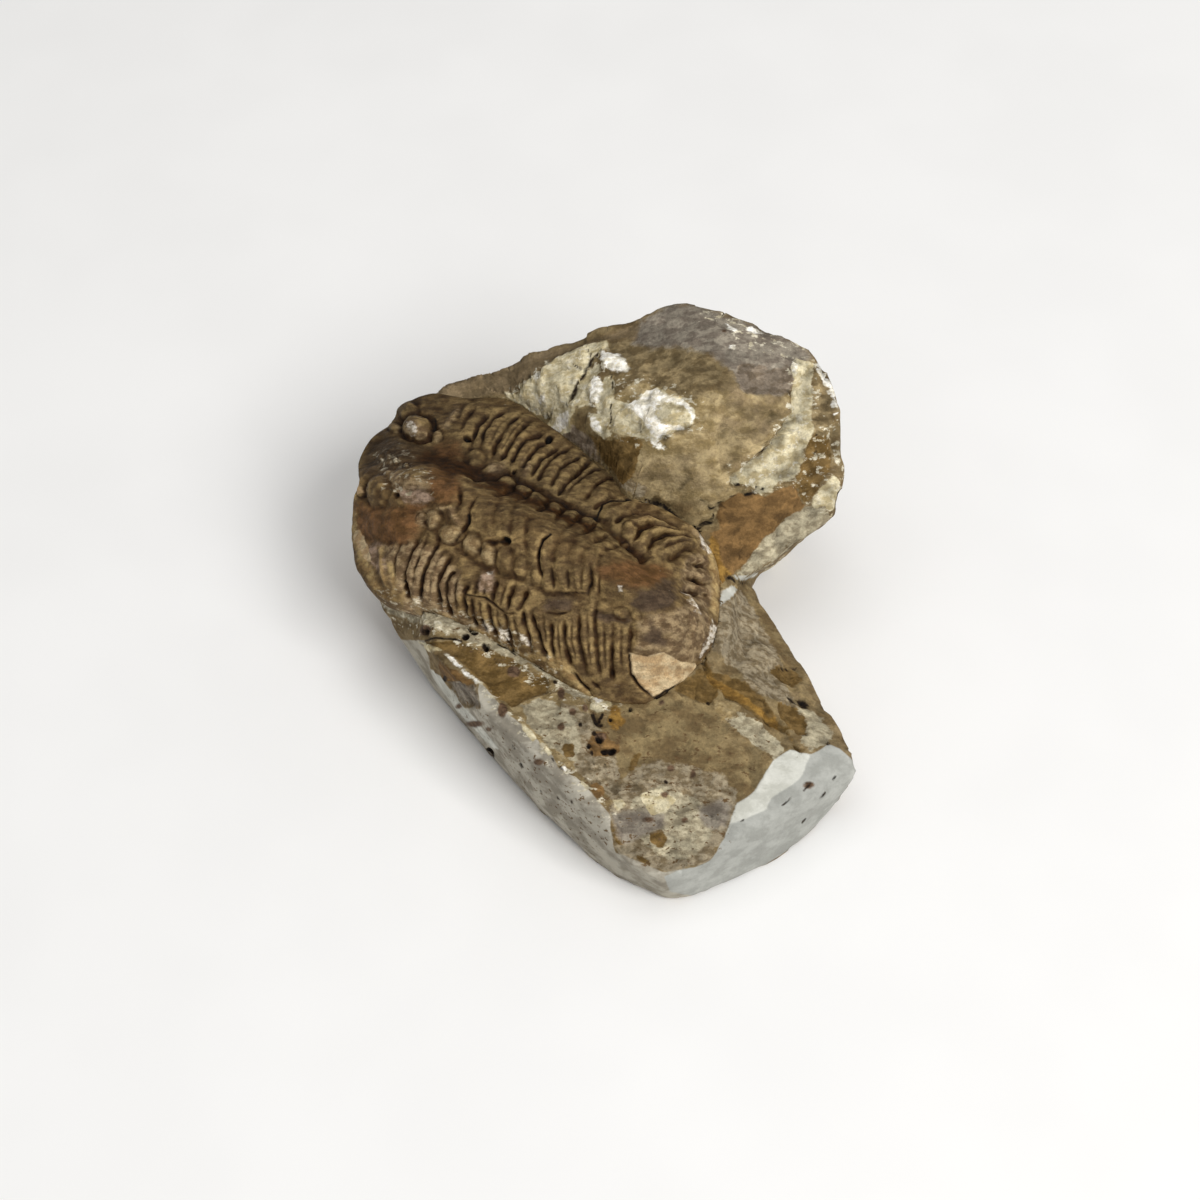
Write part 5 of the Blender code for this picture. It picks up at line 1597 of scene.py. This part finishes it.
from_rim, rim_place = along_line(ring_points[:, :2], flat_skin[:, :2], closed=True)
under_fossil = depth_inside(ring_points[:, :2], flat_skin[:, :2]) > 0
ring_heights = np.append(ring_points[:, 2], ring_points[0, 2])
level = np.interp(rim_place, np.arange(len(ring_heights)), ring_heights) - MARGIN_DROP
height = flat_skin[:, 2]
high = height > LOWEST_PULLED
pull = (1 - smooth_step(0.0, MARGIN_REACH, from_rim)) * smooth_step(*PULLED_SLOPE, flat_normals[:, 2])
pull *= smooth_step(LOWEST_PULLED, LOWEST_PULLED + LOW_FADE, height)
pull *= smooth_step(*FARTHEST_PULLED, np.abs(level - height))
sole_height = np.minimum(SEAT_HEIGHT + SEAT_SLOPE * flat_skin[:, 1] - SOLE_DROP, level)
lowered = level + (sole_height - level) * smooth_step(*SOLE_EDGE, from_rim)
height = np.where(under_fossil & high, np.minimum(height, lowered), height + (level - height) * pull)
flat_skin[:, 2] = height
flat_normals = -grid_normals(flat_skin.reshape(skin.shape), closed=True).reshape(-1, 3)
pixels = seen_at(flat_skin)
facing = flat_normals @ towards_camera
shown = smooth_step(0.0, 0.15, facing)

traced = wandering(pixels, flat_skin, seed=71)
stone_values = {}
for finish, patches in STONE_PATCHES.items():
    stone_values[finish] = patch_mask(patches, pixels if finish in GROUND_FINISHES else traced, facing)
stone_values["dark"] = line_mask(STONE_DARK_LINES, traced, facing)
spots = []
for x, y, half_wide, half_high in STONE_SPOTS.values():
    away = np.hypot((pixels[:, 0] - x) / half_wide, (pixels[:, 1] - y) / half_high)
    spots.append((1 - away) * min(half_wide, half_high))
stone_values["spot"] = where_seen(spots, facing)


def share_of(finishes, low, high):
    """Where any of some finishes lies: 0 at one depth inside their outlines and 1 at another, in pixels."""
    return smooth_step(low, high, np.maximum.reduce([stone_values[finish] for finish in finishes]))


ground_share = share_of(GROUND_FINISHES, -2, 2)
chipped = share_of(("speckle", "white", "cream"), -3, 3)
rough = 1 - (1 - GROUND_ROUGHNESS) * ground_share
scallop_height, scallop_size, scallop_seed, scallop_mean = STONE_SCALLOPS
relief = OUTSET + scallop_height * (scallops(flat_skin, scallop_size, scallop_seed) - scallop_mean) * rough
for size, tilt, seed, lowest, highest, kept in STONE_FLAKES:
    broken = np.clip(flakes(flat_skin, size, tilt, seed), lowest, highest)
    relief += broken * rough * (kept + (1 - kept) * chipped)
for height, size, seed, kept in STONE_WAVES:
    relief += height * soft_noise(flat_skin, size, seed) * (kept + (1 - kept) * rough)
sunk, raised = line_relief(STONE_LINES, traced, 1 + layered_noise(flat_skin, LINE_NOISES))
relief += (sunk + raised + knob_relief(STONE_KNOBS, traced)) * shown
for finish, patch, height in STONE_STEPS:
    depth = depth_inside(STONE_PATCHES[finish][patch], pixels) + layered_noise(flat_skin, STEP_NOISES)
    relief += height * smooth_step(-1.5, 1.5, depth) * shown
relief += share_of(["white"], -1, 2) * layered_noise(flat_skin, WHITE_NOISES)
relief = np.where(under_fossil, np.minimum(relief, 0), relief)
relief -= RIM_CALM * np.maximum(relief, 0) * (1 - smooth_step(0.0, RIM_CALM_REACH, from_rim))
stone = flat_skin + flat_normals * relief[:, None]
stone[:, 2] = np.maximum(stone[:, 2], 0.0)

# Painted shade in the hollows of the stone and painted highlight on its rises
relief_grid = relief.reshape(skin.shape[:2])
hollow = (smoothed(relief_grid, STONE_HOLLOW_ROUNDS, closed=True) - relief_grid).ravel()
stone_values["shade"] = np.clip(1 - STONE_HOLLOW_SHADE * hollow, *STONE_SHADES)
stone_values["even"] = GROUND_EVENNESS * ground_share

# The sides that the photograph doesn't show have the crust all over, and the other finishes scattered on it
unseen = smooth_step(*UNSEEN_FACING, facing)
hidden_crust = CRUST_GAIN * unseen + layered_noise(flat_skin, CRUST_NOISES) - CRUST_LEVEL
stone_values["crust"] = np.maximum(stone_values["crust"], hidden_crust)
for finish, (size, amount, seed) in HIDDEN_PATCHES.items():
    uneven = layered_noise(flat_skin, [(0.65, size, seed), (0.35, size / 3, seed + 20)])
    scattered = np.minimum(HIDDEN_GAIN * (uneven - amount), MASK_REACH * (2 * unseen - 1))
    stone_values[finish] = np.maximum(stone_values[finish], scattered)
stone_values["flecks"] = np.minimum(stone_values["flecks"], FLECK_LEVEL)
stone_values["specks"] = np.minimum(stone_values["specks"], SPECK_LEVEL)

DOLOMITE_BASE = ("#69573a", "#877552", 2.0)
DOLOMITE_FINISHES = [
    ("tan", "#88754f", "#a6936d", 1.6, 5.0, 1.2, 1.5),
    ("crust", "#6c5c43", "#857357", 1.8, 6.0, 2.0, 3.0),
    ("buff", "#806d4a", "#a08d68", 1.2, 6.0, 1.0, 1.2),
    ("speckle", "#74654c", "#968971", 0.8, 9.0, 1.2, 1.5),
    ("pale", "#8d826a", "#aba187", 0.8, 9.0, 1.0, 1.2),
    ("brown", "#5d4825", "#7d643b", 1.2, 4.0, 0.9, 0.9),
    ("olive", "#68583c", "#8f7d5b", 1.2, 7.0, 1.2, 1.8),
    ("grey", "#70665a", "#8f8677", 1.2, 7.0, 1.2, 3.5),
    ("pinkish", "#6d5f4e", "#8f8170", 1.0, 5.0, 0.9, 1.5),
    ("orange", "#61492a", "#7d603a", 1.4, 3.5, 0.9, 0.9),
    ("ochre", "#745627", "#977438", 1.0, 4.0, 0.8, 1.5),
    # Painted shade: darker copy of the ground finish for the left face
    ("ground_left", "#8b8476", "#b2ac9d", 2.6, 1.2, 1.2, 0.8),
    ("ground_right", "#9b9b94", "#ababa4", 2.0, 1.2, 1.2, 0.8),
    # Painted light: lighter copy of the ground finish for the bevels and bright edges
    ("ground_light", "#bcbbb0", "#d0cfc5", 2.0, 2.5, 1.2, 1.2),
    ("cream", "#afa07b", "#d1c6a6", 1.1, 3.5, 0.9, 0.8),
    ("flecks", "#a99f86", "#d2cab4", 0.6, 16.0, 0.8, 1.4),
    ("specks", "#3a2a18", "#5f4a30", 0.6, 16.0, 0.6, 1.2),
    ("white", "#cdc5b1", "#f4f0e6", 0.7, 4.0, 0.6, 1.0),
    ("spot", "#493728", "#6c5541", 0.8, 1.5, 0.6, 1.2),
    ("dark", "#130c06", "#2e2115", 0.8, 1.0, 0.5, 0.8),
]
dolomite_finish = mineral("fine-grained dolomite", DOLOMITE_BASE, DOLOMITE_FINISHES, stretch=0.6,
                          grain_size=0.4, lump_size=1.6, chip_size=1.7, depths=(0.12, 0.35, 0.06),
                          roughness=0.78)

top_pole = np.array([[STONE_AXIS[0], STONE_AXIS[1], stone[::STONE_RINGS, 2].mean()]])
bottom_pole = np.array([[STONE_AXIS[0], STONE_AXIS[1], 0.0]])
stone = np.concatenate([stone, top_pole, bottom_pole])
numbers = np.arange(STONE_COLUMNS * STONE_RINGS).reshape(STONE_COLUMNS, STONE_RINGS)
first_ring, last_ring = numbers[:, 0], numbers[:, -1]
top_fan = np.stack([first_ring, np.roll(first_ring, -1), np.full(STONE_COLUMNS, numbers.size)], axis=-1)
bottom_fan = np.stack([np.roll(last_ring, -1), last_ring, np.full(STONE_COLUMNS, numbers.size + 1)], axis=-1)
for key, values in stone_values.items():
    stone_values[key] = np.append(values, values[[0, -1]])
skin_quads = grid_faces(STONE_COLUMNS, STONE_RINGS, closed=True)[:, ::-1]
matrix = make_piece("dolomite", stone, [skin_quads, top_fan, bottom_fan], stone_values, dolomite_finish)
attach(matrix, "root")
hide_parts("matrix")


# The table: a sheet of matt white card that the stone rests on. It is large enough for its edge to stay
# out of any view.

FLOOR_SIZE = 4.0

card = bpy.data.materials.new("matt white card")
card.use_nodes = True
card_tree = card.node_tree
card_shader = card_tree.nodes["Principled BSDF"]
card_place = add_node(card_tree, "ShaderNodeTexCoord").outputs["Object"]
card_colour = mottled(card_tree, card_place, "#f3f2f0", "#f6f5f3", 30.0, 2.0, 0.3, 0.7)
card_tree.links.new(card_colour, card_shader.inputs["Base Color"])
card_shader.inputs["Roughness"].default_value = 0.9
card_shader.inputs["Specular IOR Level"].default_value = 0.2
bpy.ops.mesh.primitive_plane_add(size=FLOOR_SIZE, location=(0, 0, 0))
floor = bpy.context.object
floor.name = "floor"
floor.data.materials.append(card)


# The light: a wide soft lamp from the right front, a weaker one overhead, and an even pale room. Each
# lamp has its place and size in metres and its power in watts, and faces the fossil.

ROOM_STRENGTH = 0.36
LAMPS = {
    "right_front": ((0.45, -0.45, 0.65), 0.5, 6.0),
    "overhead": ((-0.10, 0.10, 0.80), 0.6, 1.5),
}

room = bpy.data.worlds.new("room")
room.use_nodes = True
room.node_tree.nodes["Background"].inputs["Color"].default_value = (1.0, 1.0, 1.0, 1.0)
room.node_tree.nodes["Background"].inputs["Strength"].default_value = ROOM_STRENGTH
bpy.context.scene.world = room
for name, (place, size, power) in LAMPS.items():
    lamp = bpy.data.lights.new(name, "AREA")
    lamp.shape = "SQUARE"
    lamp.size = size
    lamp.energy = power
    lamp_object = bpy.data.objects.new(name, lamp)
    lamp_object.location = place
    aim = CAMERA_TARGET * MM - np.array(place)
    lamp_object.rotation_euler = (math.atan2(math.hypot(aim[0], aim[1]), -aim[2]), 0,
                                  math.atan2(aim[1], aim[0]) - math.pi / 2)
    bpy.context.scene.collection.objects.link(lamp_object)
bpy.context.scene.view_settings.view_transform = "Standard"
